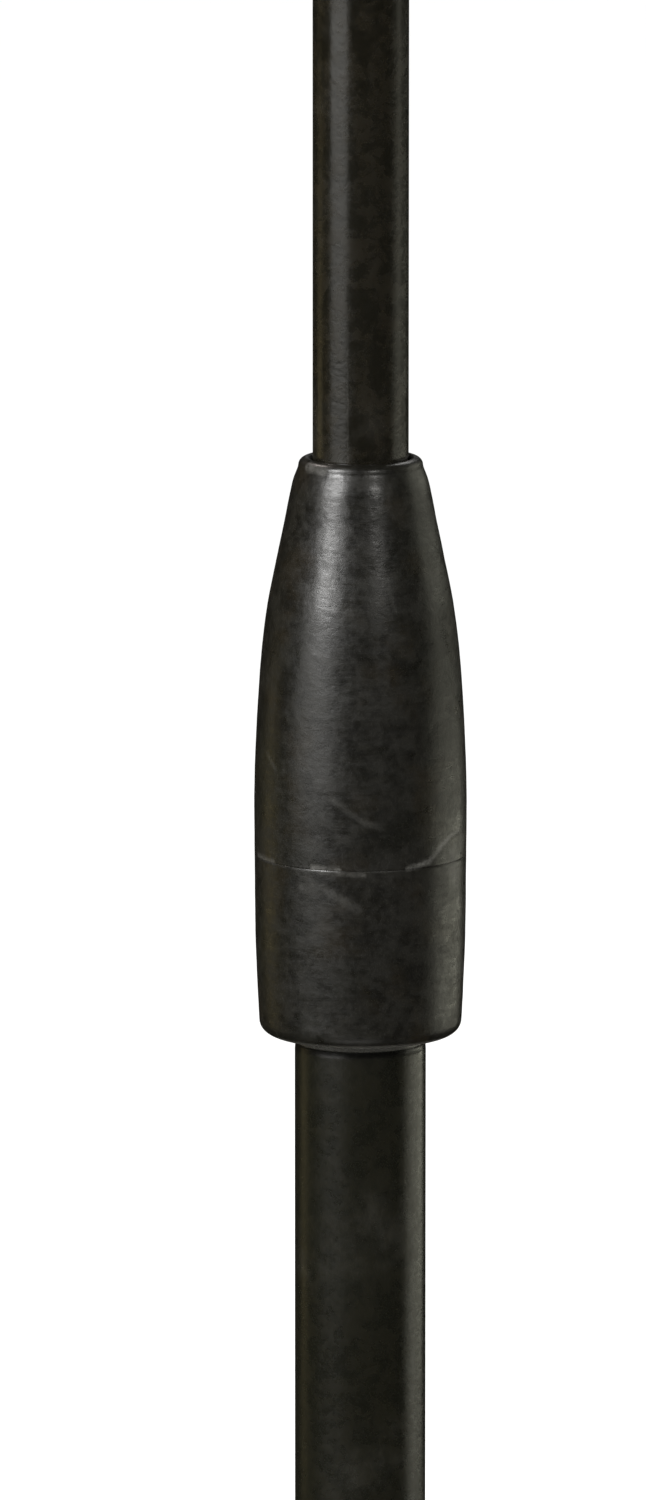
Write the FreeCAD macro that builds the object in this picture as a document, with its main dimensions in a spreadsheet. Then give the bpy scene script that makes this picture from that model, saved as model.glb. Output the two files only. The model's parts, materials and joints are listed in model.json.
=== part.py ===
"""Orchestral music stand: folding tripod, two telescoping tubes held by a tapered
twist clutch, and a tilting sheet-steel desk.

Frame: millimetres, +Z up, origin on the floor on the axis of the tubes.
-Y is the player's side (the desk's reading face), +X is the player's right.
Leg 1 points along +X, legs 2 and 3 at 120 and 240 degrees.
The stand is drawn with its legs open, its mast part way up and its desk leaning back.
"""

import FreeCAD, Part
import math
import os
import Sketcher
from FreeCAD import Placement, Rotation
from FreeCAD import Vector as V

doc = FreeCAD.newDocument("MusicStand")
sheet = doc.addObject("Spreadsheet::Sheet", "dims")

# ----------------------------------------------------------------------------
# driving dimensions, millimetres and degrees
# ----------------------------------------------------------------------------
TABLE = [
    # tubes
    ("lower_od", 22.0), ("lower_wall", 1.2), ("lower_base", 12.0), ("lower_end", 598.0),
    ("upper_od", 16.0), ("upper_wall", 1.2), ("upper_base", 372.0), ("upper_end", 966.0),
    # clutch, heights above the floor
    ("clutch_low", 562.2), ("clutch_seam", 592.8), ("clutch_high", 660.0), ("seam_gap", 0.15),
    ("seam_break", 0.3), ("housing_foot_rad", 14.5), ("housing_low_rad", 16.95),
    ("housing_mid_rad", 17.58), ("seam_rad", 17.62), ("belly_rad", 17.7), ("belly_high", 600.5),
    ("shoulder_rad", 16.75), ("shoulder_high", 623.0), ("cone_rad", 15.45), ("cone_high", 635.5),
    ("throat_rad", 11.25), ("throat_high", 656.4), ("crest_rad", 9.6), ("mouth_rad", 8.35),
    ("mouth_depth", 0.9), ("spigot_rad", 12.95), ("spigot_high", 618.0), ("thread_rad", 13.1),
    ("thread_high", 625.0), ("cone_in_low", 11.9), ("cone_in_high", 9.75), ("cone_in_top", 650.5),
    ("washer_seat", 653.0), ("collet_bore", 8.06), ("collet_base_rad", 10.8), ("collet_neck_rad", 10.2),
    ("collet_low", 598.2), ("collet_neck", 612.0), ("collet_cone", 624.0), ("collet_cone_rad", 11.7),
    ("collet_top", 651.0), ("collet_top_rad", 9.45), ("collet_slot", 1.2),
    ("thrust_in", 8.3), ("thrust_out", 9.6), ("thrust_low", 651.3), ("thrust_high", 652.85),
    # guide bush on the mast's lower end
    ("bush_rad", 9.7), ("bush_bore", 8.05), ("bush_low", 366.0), ("bush_high", 398.0),
    ("bush_lip", 6.2), ("bush_lip_high", 371.9), ("bush_edge", 0.8),
    # base hub
    ("hub_rad", 16.0), ("hub_low", 8.0), ("hub_high", 40.0), ("hub_pivot", 22.0), ("pivot_rad", 27.0),
    ("lug_half", 4.5), ("lug_round", 8.0), ("insert_high", 34.0), ("screw_rad", 3.0),
    ("screw_head_rad", 5.5), ("screw_head_low", 4.4), ("screw_end", 28.0),
    # legs and struts
    ("leg_angle", 55.0), ("link", 116.0), ("leg_long", 250.0), ("leg_half", 9.0), ("leg_thick", 9.0),
    ("leg_edge", 3.4), ("leg_hollow_half", 7.4), ("leg_hollow_thick", 6.4), ("leg_solid", 22.0),
    ("pin_rad", 3.0), ("pin_gap", 0.05), ("pin_slack", 0.1), ("strut_half", 7.0), ("strut_in", 4.9),
    ("strut_out", 6.9), ("strut_web", 2.0), ("web_start", 17.0), ("web_stop", 30.0),
    ("rivet_head", 5.0), ("rivet_high", 1.7), ("rivet_air", 0.2),
    ("foot_half", 13.0), ("foot_thick", 16.0), ("foot_grip", 24.0), ("foot_over", 11.0), ("foot_air", 0.1),
    # leg collar and its lock
    ("collar_rad", 16.0), ("collar_half", 18.0), ("liner_rad", 12.6), ("liner_bore", 11.1),
    ("liner_half", 19.5), ("liner_flange", 14.0), ("liner_lip", 1.4),
    ("ear_out", 8.9), ("ear_round", 8.6), ("slot_start", 16.4),
    ("boss_rad", 8.0), ("boss_end", 24.0), ("stud_rad", 4.0), ("stud_hole", 4.05), ("shoe_rad", 3.9),
    ("shoe_face", 11.05), ("shoe_back", 13.6), ("stud_tip", 13.65),
    ("knob_at", 24.6), ("knob_rad", 14.5), ("knob_hub", 7.5), ("knob_neck", 4.0), ("knob_long", 18.0),
    ("knob_bite", 5.0), ("knob_bite_at", 16.8), ("stud_grip", 10.0),
    # tilt head and desk
    ("tilt_high", 985.0), ("desk_lean", 22.0), ("head_rad", 12.0), ("head_low", 945.0), ("head_high", 970.0),
    ("head_lug", 7.0), ("head_round", 12.0), ("head_rivet_high", 955.0), ("head_rivet_rad", 2.0),
    ("washer_in", 4.2), ("washer_out", 11.0), ("washer_thick", 1.0),
    ("cheek_in", 8.05), ("cheek_thick", 2.5), ("cheek_round", 12.0), ("cheek_root", 26.0),
    ("panel_front", 42.0), ("panel_deep", 8.0), ("sheet", 1.2), ("panel_half", 254.0), ("panel_drop", 130.0),
    ("panel_rise", 212.0), ("panel_corner", 32.0), ("panel_edge", 2.0),
    ("plate_half_wide", 55.0), ("plate_half_high", 34.0), ("plate_thick", 2.0), ("plate_corner", 6.0),
    ("rivet_wide", 43.0), ("rivet_tall", 23.0), ("desk_rivet_rad", 2.4), ("desk_rivet_head", 4.6),
    ("ledge_deep", 56.0), ("ledge_lip", 14.0), ("ledge_corner", 16.0), ("lip_half", 236.0), ("lip_corner", 9.0),
    ("bolt_head_rad", 8.0), ("bolt_head_thick", 5.0), ("bolt_end", 26.0),
    ("press_in", 4.3), ("press_out", 10.0), ("press_thick", 1.6), ("press_air", 0.1),
    ("tilt_knob_rad", 16.5), ("tilt_knob_long", 23.0), ("tilt_knob_neck", 5.0), ("tilt_knob_hub", 9.0),
    ("tilt_bite", 5.6), ("tilt_bite_at", 19.2), ("knob_edge", 1.6),
    ("grub_rad", 2.0), ("grub_high", 574.0), ("grub_out", 16.6), ("grub_key", 1.0), ("grub_key_deep", 2.0),
]
for row, (alias, value) in enumerate(TABLE, start=1):
    sheet.set(f"A{row}", alias)
    sheet.set(f"B{row}", repr(value))
    sheet.setAlias(f"B{row}", alias)
doc.recompute()
VALUES = dict(TABLE)


class Q:
    """A number together with the expression that gives it from the sheet."""

    def __init__(self, val, ex):
        self.val, self.ex = float(val), ex

    def _two(self, other, sign, val):
        other = q(other)
        return Q(val(self.val, other.val), f"({self.ex} {sign} {other.ex})")

    def __add__(self, o): return self._two(o, "+", lambda a, b: a + b)
    def __radd__(self, o): return q(o) + self
    def __sub__(self, o): return self._two(o, "-", lambda a, b: a - b)
    def __rsub__(self, o): return q(o) - self
    def __mul__(self, o): return self._two(o, "*", lambda a, b: a * b)
    def __rmul__(self, o): return q(o) * self
    def __truediv__(self, o): return self._two(o, "/", lambda a, b: a / b)
    def __neg__(self): return Q(-self.val, f"(0 - {self.ex})")


def q(x):
    return x if isinstance(x, Q) else Q(x, f"({float(x)!r})")


def D(alias):
    return Q(VALUES[alias], f"dims.{alias}")


def cosd(x):
    return Q(math.cos(math.radians(x.val)), f"cos({x.ex})")


def sind(x):
    return Q(math.sin(math.radians(x.val)), f"sin({x.ex})")


# ----------------------------------------------------------------------------
# small builders
# ----------------------------------------------------------------------------
NODES = {}


def new_body(label):
    b = doc.addObject("PartDesign::Body", label)
    b.Label = label
    NODES[label] = b
    return b


def origin_of(b, role):
    return [o for o in b.Origin.OriginFeatures if o.Role == role][0]


def new_sketch(b, plane, offset=None):
    s = b.newObject("Sketcher::SketchObject", "Sketch")
    s.AttachmentSupport = [(origin_of(b, plane), "")]
    s.MapMode = "FlatFace"
    if offset is not None:
        s.AttachmentOffset = Placement(V(0, 0, offset.val), Rotation())
        s.setExpression("AttachmentOffset.Base.z", offset.ex)
    return s


def pin_point(s, geo, end, x, y, tag):
    """Fixes one sketch point at (x, y) from the sketch's origin, bound to the sheet."""
    for way, value in (("X", x), ("Y", y)):
        i = s.addConstraint(Sketcher.Constraint(f"Distance{way}", -1, 1, geo, end, value.val))
        name = f"{tag}{way.lower()}"
        s.renameConstraint(i, name)
        s.setExpression(f"Constraints.{name}", value.ex)


def outline(s, points, arcs=None):
    """A closed outline through points. arcs: {edge index: radius}; positive bulges to the right of the edge."""
    arcs = arcs or {}
    pts = [(q(x), q(y)) for x, y in points]
    n, first = len(pts), s.GeometryCount
    for i in range(n):
        (x0, y0), (x1, y1) = pts[i], pts[(i + 1) % n]
        a, b = V(x0.val, y0.val, 0), V(x1.val, y1.val, 0)
        if i in arcs:
            r = q(arcs[i])
            chord = b - a
            half = chord.Length / 2
            right = V(chord.y, -chord.x, 0).normalize()
            side = 1 if r.val > 0 else -1
            sag = abs(r.val) - math.sqrt(max(r.val ** 2 - half ** 2, 0))
            mid = (a + b) * 0.5 + right * side * sag
            s.addGeometry(Part.Arc(a, mid, b), False)
        else:
            s.addGeometry(Part.LineSegment(a, b), False)
    ends = {}
    for i in range(n):
        g = s.Geometry[first + i]
        flipped = (g.StartPoint - V(pts[i][0].val, pts[i][1].val, 0)).Length > 1e-6
        ends[i] = (2, 1) if flipped else (1, 2)
    for i in range(n):
        j = (i + 1) % n
        s.addConstraint(Sketcher.Constraint("Coincident", first + i, ends[i][1], first + j, ends[j][0]))
    for i, (x, y) in enumerate(pts):
        pin_point(s, first + i, ends[i][0], x, y, f"p{first}_{i}_")
    for i, r in arcs.items():
        r = q(r)
        (x0, y0), (x1, y1) = pts[i], pts[(i + 1) % n]
        if abs(math.hypot(x1.val - x0.val, y1.val - y0.val) / 2 - abs(r.val)) < 1e-6:
            # a half circle: hold its centre on the chord, which its ends leave free
            way, value = ("X", x0) if abs(x1.val - x0.val) < 1e-6 else ("Y", y0)
            c = s.addConstraint(Sketcher.Constraint(f"Distance{way}", -1, 1, first + i, 3, value.val))
            s.renameConstraint(c, f"h{first}_{i}")
            s.setExpression(f"Constraints.h{first}_{i}", value.ex)
            continue
        c = s.addConstraint(Sketcher.Constraint("Radius", first + i, abs(r.val)))
        s.renameConstraint(c, f"r{first}_{i}")
        s.setExpression(f"Constraints.r{first}_{i}", r.ex if r.val > 0 else (-r).ex)
    return s


def circle(s, x, y, r):
    x, y, r = q(x), q(y), q(r)
    g = s.addGeometry(Part.Circle(V(x.val, y.val, 0), V(0, 0, 1), r.val), False)
    pin_point(s, g, 3, x, y, f"c{g}_")
    c = s.addConstraint(Sketcher.Constraint("Radius", g, r.val))
    s.renameConstraint(c, f"cr{g}")
    s.setExpression(f"Constraints.cr{g}", r.ex)
    return s


def feature(b, kind, s, length=None, symmetric=False, reverse=False, through=False):
    f = b.newObject(f"PartDesign::{kind}", kind)
    f.Profile = s
    f.SideType = "Symmetric" if symmetric else "One side"
    f.Reversed = reverse
    if through:
        f.Type = "ThroughAll"
    else:
        f.Type = "Length"
        f.Length = q(length).val
        f.setExpression("Length", q(length).ex)
    return f


def pad(b, s, length, **k):
    return feature(b, "Pad", s, length, **k)


def pocket(b, s, length=None, **k):
    """Cuts, and stops if nothing was removed."""
    doc.recompute()
    before = b.Shape.Volume
    f = feature(b, "Pocket", s, length, **k)
    doc.recompute()
    if not b.Shape.Volume < before - 1e-3:
        raise RuntimeError(f"a pocket of {b.Label} cut nothing")
    return f


def revolve(b, points, arcs=None, plane="XZ_Plane"):
    """A full turn of an outline about the body's own Z axis."""
    s = outline(new_sketch(b, plane), points, arcs)
    f = b.newObject("PartDesign::Revolution", "Revolution")
    f.Profile = s
    f.ReferenceAxis = (s, ["V_Axis"])
    f.Angle = 360.0
    return f


def polar(b, originals, count):
    f = b.newObject("PartDesign::PolarPattern", "PolarPattern")
    f.Originals = originals
    f.Axis = (origin_of(b, "Z_Axis"), [""])
    f.Angle = 360.0
    f.Occurrences = count
    b.Tip = f
    return f


def edges_where(b, test):
    """Names of the edges of the body's present shape that pass a test."""
    doc.recompute()
    return [f"Edge{i}" for i, e in enumerate(b.Shape.Edges, start=1) if test(e)]


def dress(b, kind, names, size):
    if not names:
        raise RuntimeError(f"{b.Label} has no edge to {kind}")
    base = b.Tip
    f = b.newObject(f"PartDesign::{kind}", kind)
    f.Base = (base, names)
    way = "Radius" if kind == "Fillet" else "Size"
    setattr(f, way, q(size).val)
    f.setExpression(way, q(size).ex)
    doc.recompute()
    return f


def centre(e):
    return e.CenterOfMass


def place(obj, base, rotation=None, spin=0.0):
    """Puts an object at base with a rotation, then turns the lot about Z by spin degrees."""
    p = Placement(V(*base), rotation or Rotation())
    obj.Placement = Placement(V(0, 0, 0), Rotation(V(0, 0, 1), spin)) * p
    return obj


def cylinder(name, r, height, z0, extra=None):
    c = doc.addObject("Part::Cylinder", name)
    c.setExpression("Radius", q(r).ex)
    c.setExpression("Height", q(height).ex)
    c.Placement = Placement(V(0, 0, q(z0).val), Rotation())
    c.setExpression("Placement.Base.z", q(z0).ex)
    return c


def cone(name, r0, r1, height, z0):
    c = doc.addObject("Part::Cone", name)
    c.setExpression("Radius1", q(r0).ex)
    c.setExpression("Radius2", q(r1).ex)
    c.setExpression("Height", q(height).ex)
    c.Placement = Placement(V(0, 0, q(z0).val), Rotation())
    c.setExpression("Placement.Base.z", q(z0).ex)
    return c


def rivet(name, r, half, head, high, low_head=True):
    """A rivet along its own Z: a shank between two low truncated heads, centred on the origin."""
    parts = [
        cylinder(name + "_shank", r, half * 2, -half),
        cone(name + "_head_up", head, head * 0.62, high, half),
    ]
    if low_head:
        parts.append(cone(name + "_head_low", head * 0.62, head, high, -half - high))
    f = doc.addObject("Part::MultiFuse", name)
    f.Shapes = parts
    return f


def compound(label, members):
    c = doc.addObject("Part::Compound", label)
    c.Label = label
    c.Links = members
    NODES[label] = c
    return c


ALONG_Y = Rotation(V(1, 0, 0), -90)     # own Z to +Y
ALONG_X = Rotation(V(0, 1, 0), 90)      # own Z to +X
BACK_X = Rotation(V(0, 1, 0), -90)      # own Z to -X
SPINS = (0.0, 120.0, 240.0)

# ----------------------------------------------------------------------------
# tubes
# ----------------------------------------------------------------------------
b = new_body("lower_tube")
s = new_sketch(b, "XY_Plane", D("lower_base"))
circle(s, 0, 0, D("lower_od") / 2)
circle(s, 0, 0, D("lower_od") / 2 - D("lower_wall"))
pad(b, s, D("lower_end") - D("lower_base"))

b = new_body("upper_tube")
s = new_sketch(b, "XY_Plane", D("upper_base"))
circle(s, 0, 0, D("upper_od") / 2)
circle(s, 0, 0, D("upper_od") / 2 - D("upper_wall"))
pad(b, s, D("upper_end") - D("upper_base"))
s = circle(new_sketch(b, "XZ_Plane"), 0, D("head_rivet_high"), D("head_rivet_rad"))
pocket(b, s, D("upper_od") * 2, symmetric=True)

# nylon bush snapped on the foot of the upper tube, a running fit in the lower tube
b = new_body("guide_bush")
e = D("bush_edge")
revolve(b, [
    (D("bush_lip"), D("bush_low")), (D("bush_rad") - e, D("bush_low")), (D("bush_rad"), D("bush_low") + e),
    (D("bush_rad"), D("bush_high") - e), (D("bush_rad") - e, D("bush_high")), (D("bush_bore"), D("bush_high")),
    (D("bush_bore"), D("bush_lip_high")), (D("bush_lip"), D("bush_lip_high"))])

# ----------------------------------------------------------------------------
# twist clutch
# ----------------------------------------------------------------------------
tube_r = D("lower_od") / 2
b = new_body("clutch_housing")
revolve(b, [
    (tube_r, D("clutch_low")), (D("housing_foot_rad"), D("clutch_low")),
    (D("housing_low_rad"), D("clutch_low") + 2.5), (D("housing_mid_rad"), D("clutch_low") + 19),
    (D("seam_rad"), D("clutch_seam") - D("seam_break")), (D("seam_rad") - D("seam_break"), D("clutch_seam")),
    (D("spigot_rad"), D("clutch_seam")), (D("spigot_rad"), D("spigot_high") - 0.8),
    (D("spigot_rad") - 0.8, D("spigot_high")), (tube_r, D("spigot_high"))],
    arcs={1: q(2.52), 2: q(190.0)})
s = circle(new_sketch(b, "XZ_Plane"), 0, D("grub_high"), D("grub_rad"))
pocket(b, s, q(30), reverse=False)

b = new_body("housing_set_screw")
s = circle(new_sketch(b, "XY_Plane"), 0, 0, D("grub_rad"))
pad(b, s, D("grub_out") - D("lower_od") / 2 - 0.05)
s = new_sketch(b, "XY_Plane", D("grub_out") - D("lower_od") / 2 - 0.05)
circle(s, 0, 0, D("grub_key"))
pocket(b, s, D("grub_key_deep"))
place(b, (0, VALUES["lower_od"] / 2 + 0.05, VALUES["grub_high"]), ALONG_Y)

b = new_body("clutch_collet")
revolve(b, [
    (D("collet_bore"), D("collet_low")), (D("collet_base_rad"), D("collet_low")),
    (D("collet_base_rad"), D("collet_neck")), (D("collet_neck_rad"), D("collet_neck") + 0.6),
    (D("collet_neck_rad"), D("collet_cone") - 2), (D("collet_cone_rad"), D("collet_cone")),
    (D("collet_top_rad"), D("collet_top")), (D("collet_bore"), D("collet_top"))])
for plane in ("XZ_Plane", "YZ_Plane"):
    h = D("collet_slot") / 2
    s = outline(new_sketch(b, plane), [
        (-h, D("collet_neck")), (h, D("collet_neck")), (h, D("collet_top") + 1), (-h, D("collet_top") + 1)])
    pocket(b, s, q(40), symmetric=True)

b = new_body("thrust_washer")
revolve(b, [
    (D("thrust_in"), D("thrust_low")), (D("thrust_out"), D("thrust_low")),
    (D("thrust_out"), D("thrust_high")), (D("thrust_in"), D("thrust_high"))])

b = new_body("clutch_grip")
low = D("clutch_seam") + D("seam_gap")
revolve(b, [
    (D("thread_rad"), low), (D("seam_rad") - D("seam_break"), low), (D("seam_rad"), low + D("seam_break")),
    (D("belly_rad"), D("belly_high")), (D("shoulder_rad"), D("shoulder_high")), (D("cone_rad"), D("cone_high")),
    (D("throat_rad"), D("throat_high")), (D("throat_rad") - 0.62, D("clutch_high") - 1.75),
    (D("crest_rad"), D("clutch_high")), (D("mouth_rad") + 0.45, D("clutch_high")),
    (D("mouth_rad"), D("clutch_high") - D("mouth_depth")),
    (D("mouth_rad"), D("washer_seat")), (D("cone_in_high"), D("washer_seat")),
    (D("cone_in_high"), D("cone_in_top")), (D("cone_in_low"), D("thread_high")), (D("thread_rad"), D("thread_high"))],
    arcs={3: q(235.0), 4: q(105.0), 7: q(1.7), 9: q(0.95)})

# ----------------------------------------------------------------------------
# base hub at the foot of the lower tube
# ----------------------------------------------------------------------------
b = new_body("tube_insert")
inner = D("lower_od") / 2 - D("lower_wall")
revolve(b, [
    (D("screw_rad"), D("lower_base")), (inner, D("lower_base")),
    (inner, D("insert_high") - 1), (inner - 1, D("insert_high")), (D("screw_rad"), D("insert_high"))])

b = new_body("base_hub")
revolve(b, [
    (D("screw_rad"), D("hub_low")), (D("hub_rad") - 2.5, D("hub_low")), (D("hub_rad"), D("hub_low") + 2.5),
    (D("hub_rad"), D("hub_high") - 3), (tube_r + 1.6, D("hub_high")), (tube_r, D("hub_high")),
    (tube_r, D("lower_base")), (D("screw_rad"), D("lower_base"))],
    arcs={1: q(2.6)})
s = outline(new_sketch(b, "XZ_Plane"), [
    (q(12.5), D("hub_pivot") - D("lug_round")), (D("pivot_rad"), D("hub_pivot") - D("lug_round")),
    (D("pivot_rad"), D("hub_pivot") + D("lug_round")), (q(12.5), D("hub_pivot") + D("lug_round"))],
    arcs={1: D("lug_round")})
lug = pad(b, s, D("lug_half") * 2, symmetric=True)
s = circle(new_sketch(b, "XZ_Plane"), D("pivot_rad"), D("hub_pivot"), D("pin_rad"))
hole = pocket(b, s, q(20), symmetric=True)
polar(b, [lug, hole], 3)

b = new_body("hub_screw")
revolve(b, [
    (q(0), D("screw_head_low")), (D("screw_head_rad") - 1.6, D("screw_head_low")),
    (D("screw_head_rad"), D("screw_head_low") + 1.8), (D("screw_head_rad"), D("hub_low")),
    (D("screw_rad"), D("hub_low")), (D("screw_rad"), D("screw_end")), (q(0), D("screw_end"))],
    arcs={1: q(2.4)})
s = new_sketch(b, "XY_Plane", D("screw_head_low"))
h = q(0.6)
outline(s, [(q(-3.4), -h), (q(3.4), -h), (q(3.4), h), (q(-3.4), h)])
cut_a = pocket(b, s, q(1.4), reverse=True)
s = new_sketch(b, "XY_Plane", D("screw_head_low"))
outline(s, [(-h, q(-3.4)), (h, q(-3.4)), (h, q(3.4)), (-h, q(3.4))])
pocket(b, s, q(1.4), reverse=True)

pins = []
reach = D("strut_out") + D("rivet_air")
for i, spin in enumerate(SPINS, start=1):
    r = rivet(f"hub_pin_{i}", D("pin_rad"), reach, D("rivet_head"), D("rivet_high"))
    place(r, (VALUES["pivot_rad"], 0, VALUES["hub_pivot"]), ALONG_Y, spin)
    pins.append(r)
compound("hub_pins", pins)

# ----------------------------------------------------------------------------
# legs and struts. Each strut is exactly as long as the leg from collar to rivet,
# so the collar rides straight up the tube as the struts swing in.
# ----------------------------------------------------------------------------
theta = VALUES["leg_angle"]
collar_z = VALUES["hub_pivot"] + 2 * VALUES["link"] * math.cos(math.radians(theta))
COLLAR = D("hub_pivot") + D("link") * 2 * cosd(D("leg_angle"))
assert abs(COLLAR.val - collar_z) < 1e-9
Z0 = q(0)
for i, spin in enumerate(SPINS, start=1):
    # strut: a channel open on the side where the leg folds into it
    b = new_body(f"strut_{i}")
    w, n = D("strut_half"), D("link")
    s = outline(new_sketch(b, "XZ_Plane"), [(-w, Z0), (w, Z0), (w, n), (-w, n)], arcs={0: w, 2: w})
    pad(b, s, D("strut_out") * 2, symmetric=True)
    s = outline(new_sketch(b, "XZ_Plane"), [
        (q(-14), q(-14)), (q(14), q(-14)), (q(14), n + 14), (q(-14), n + 14), (q(-14), n - D("web_stop")),
        (D("strut_web") - w, n - D("web_stop")), (D("strut_web") - w, D("web_start")), (q(-14), D("web_start"))])
    pocket(b, s, D("strut_in") * 2, symmetric=True)
    s = circle(new_sketch(b, "XZ_Plane"), 0, 0, D("pin_rad") + D("pin_slack"))
    circle(s, 0, n, D("pin_rad") + D("pin_gap"))
    pocket(b, s, q(30), symmetric=True)
    place(b, (VALUES["pivot_rad"], 0, VALUES["hub_pivot"]), Rotation(V(0, 1, 0), theta), spin)

    # leg: flat-oval tube with a closed, rounded top end
    b = new_body(f"leg_tube_{i}")
    w, n = D("leg_half"), D("leg_long")
    s = outline(new_sketch(b, "XZ_Plane"), [(-w, -n), (w, -n), (w, Z0), (-w, Z0)], arcs={2: w})
    pad(b, s, D("leg_thick"), symmetric=True)
    long_edges = edges_where(b, lambda e: abs(abs(centre(e).y) - VALUES["leg_thick"] / 2) < 0.01
                             and centre(e).z > -VALUES["leg_long"] + 1)
    dress(b, "Fillet", long_edges, D("leg_edge"))
    s = new_sketch(b, "XY_Plane", -n)
    hw, ht, c = D("leg_hollow_half"), D("leg_hollow_thick") / 2, q(2.2)
    outline(s, [(-hw + c, -ht), (hw - c, -ht), (hw, -ht + c), (hw, ht - c), (hw - c, ht), (-hw + c, ht),
                (-hw, ht - c), (-hw, -ht + c)], arcs={1: c, 3: c, 5: c, 7: c})
    pocket(b, s, n - D("leg_solid"), reverse=True)
    s = circle(new_sketch(b, "XZ_Plane"), 0, 0, D("pin_rad") + D("pin_gap"))
    circle(s, 0, -D("link"), D("pin_rad"))
    pocket(b, s, q(30), symmetric=True)
    place(b, (VALUES["pivot_rad"], 0, collar_z), Rotation(V(0, 1, 0), -theta), spin)

    # rubber boot, cut flat where it stands on the floor
    b = new_body(f"leg_foot_{i}")
    fw, ft = D("foot_half"), D("foot_thick") / 2
    s = new_sketch(b, "XY_Plane", -n - D("foot_over"))
    c = q(6.5)
    outline(s, [(-fw + c, -ft), (fw - c, -ft), (fw, -ft + c), (fw, ft - c), (fw - c, ft), (-fw + c, ft),
                (-fw, ft - c), (-fw, -ft + c)], arcs={1: c, 3: c, 5: c, 7: c})
    pad(b, s, D("foot_grip") + D("foot_over"))
    rims = edges_where(b, lambda e: abs(centre(e).z + VALUES["leg_long"] - VALUES["foot_grip"]) < 0.01)
    dress(b, "Fillet", rims, q(1.2))
    tips = edges_where(b, lambda e: abs(centre(e).z + VALUES["leg_long"] + VALUES["foot_over"]) < 0.01)
    dress(b, "Fillet", tips, q(4.5))
    s = new_sketch(b, "XY_Plane", -n)
    g = D("foot_air")
    lw, lt, c = D("leg_half") + g, D("leg_thick") / 2 + g, D("leg_edge")
    outline(s, [(-lw + c, -lt), (lw - c, -lt), (lw, -lt + c), (lw, lt - c), (lw - c, lt), (-lw + c, lt),
                (-lw, lt - c), (-lw, -lt + c)], arcs={1: c, 3: c, 5: c, 7: c})
    pocket(b, s, D("foot_grip") + 5, reverse=True)
    # the floor seen from the leg: x sin(angle) + z cos(angle) = -collar height
    sn, cs = sind(D("leg_angle")), cosd(D("leg_angle"))
    left, right = q(-20), q(20)
    s = outline(new_sketch(b, "XZ_Plane"), [
        (left, -(COLLAR + left * sn) / cs), (left, -(COLLAR + left * sn) / cs - 60),
        (right, -(COLLAR + left * sn) / cs - 60), (right, -(COLLAR + right * sn) / cs)])
    pocket(b, s, q(40), symmetric=True)
    place(b, (VALUES["pivot_rad"], 0, collar_z), Rotation(V(0, 1, 0), -theta), spin)

    # rivet through leg and strut
    r = rivet(f"leg_rivet_{i}", D("pin_rad"), reach, D("rivet_head"), D("rivet_high"))
    r.Label = f"leg_rivet_{i}"
    NODES[f"leg_rivet_{i}"] = r
    rad = math.radians(theta)
    place(r, (VALUES["pivot_rad"] + VALUES["link"] * math.sin(rad), 0,
              collar_z - VALUES["link"] * math.cos(rad)), ALONG_Y, spin)

# ----------------------------------------------------------------------------
# leg collar, its liner, pins and lock
# ----------------------------------------------------------------------------
b = new_body("leg_collar")
cr, ch, lr = D("collar_rad"), D("collar_half"), D("liner_rad")
revolve(b, [(lr, -ch), (cr - 1.2, -ch), (cr, -ch + 1.2), (cr, ch - 1.2), (cr - 1.2, ch), (lr, ch)])
s = outline(new_sketch(b, "XZ_Plane"), [
    (q(14), -D("ear_round") - 3), (D("pivot_rad"), -D("ear_round")), (D("pivot_rad"), D("ear_round")),
    (q(14), D("ear_round") + 3)], arcs={1: D("ear_round")})
ear = pad(b, s, D("ear_out") * 2, symmetric=True)
s = outline(new_sketch(b, "XZ_Plane"), [
    (D("slot_start"), q(-16)), (q(40), q(-16)), (q(40), q(16)), (D("slot_start"), q(16))])
slot = pocket(b, s, D("strut_in") * 2, symmetric=True)
s = circle(new_sketch(b, "XZ_Plane"), D("pivot_rad"), 0, D("pin_rad"))
hole = pocket(b, s, q(30), symmetric=True)
polar(b, [ear, slot, hole], 3)
s = circle(new_sketch(b, "YZ_Plane", -D("boss_end")), 0, 0, D("boss_rad"))
pad(b, s, D("boss_end") - D("liner_rad") - 0.8)
ring = edges_where(b, lambda e: centre(e).x < -VALUES["boss_end"] + 0.01)
dress(b, "Fillet", ring, q(1.2))
s = circle(new_sketch(b, "YZ_Plane", -D("boss_end") - 1), 0, 0, D("stud_hole"))
pocket(b, s, D("boss_end") + 1, reverse=True)
place(b, (0, 0, collar_z))

b = new_body("collar_liner")
lb, lh, lf, lip = D("liner_bore"), D("liner_half"), D("liner_flange"), D("liner_lip")
revolve(b, [(lb, -lh), (lf, -lh), (lf, -ch), (lr, -ch), (lr, ch), (lf, ch), (lf, lh), (lb, lh)])
s = circle(new_sketch(b, "YZ_Plane", -D("boss_end") - 1), 0, 0, D("stud_hole"))
pocket(b, s, D("boss_end") + 1, reverse=True)
place(b, (0, 0, collar_z))

pins = []
for i, spin in enumerate(SPINS, start=1):
    r = rivet(f"collar_pin_{i}", D("pin_rad"), D("ear_out"), D("rivet_head"), D("rivet_high"))
    place(r, (VALUES["pivot_rad"], 0, collar_z), ALONG_Y, spin)
    pins.append(r)
compound("collar_pins", pins)

b = new_body("lock_shoe")
s = circle(new_sketch(b, "XY_Plane", D("shoe_face")), 0, 0, D("shoe_rad"))
pad(b, s, D("shoe_back") - D("shoe_face"))
place(b, (0, 0, collar_z), BACK_X)

b = new_body("lock_screw")
revolve(b, [(q(0), D("stud_tip")), (D("stud_rad") - 0.8, D("stud_tip")), (D("stud_rad"), D("stud_tip") + 0.8),
            (D("stud_rad"), D("knob_at") + D("stud_grip")), (q(0), D("knob_at") + D("stud_grip"))])
place(b, (0, 0, collar_z), BACK_X)


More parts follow.
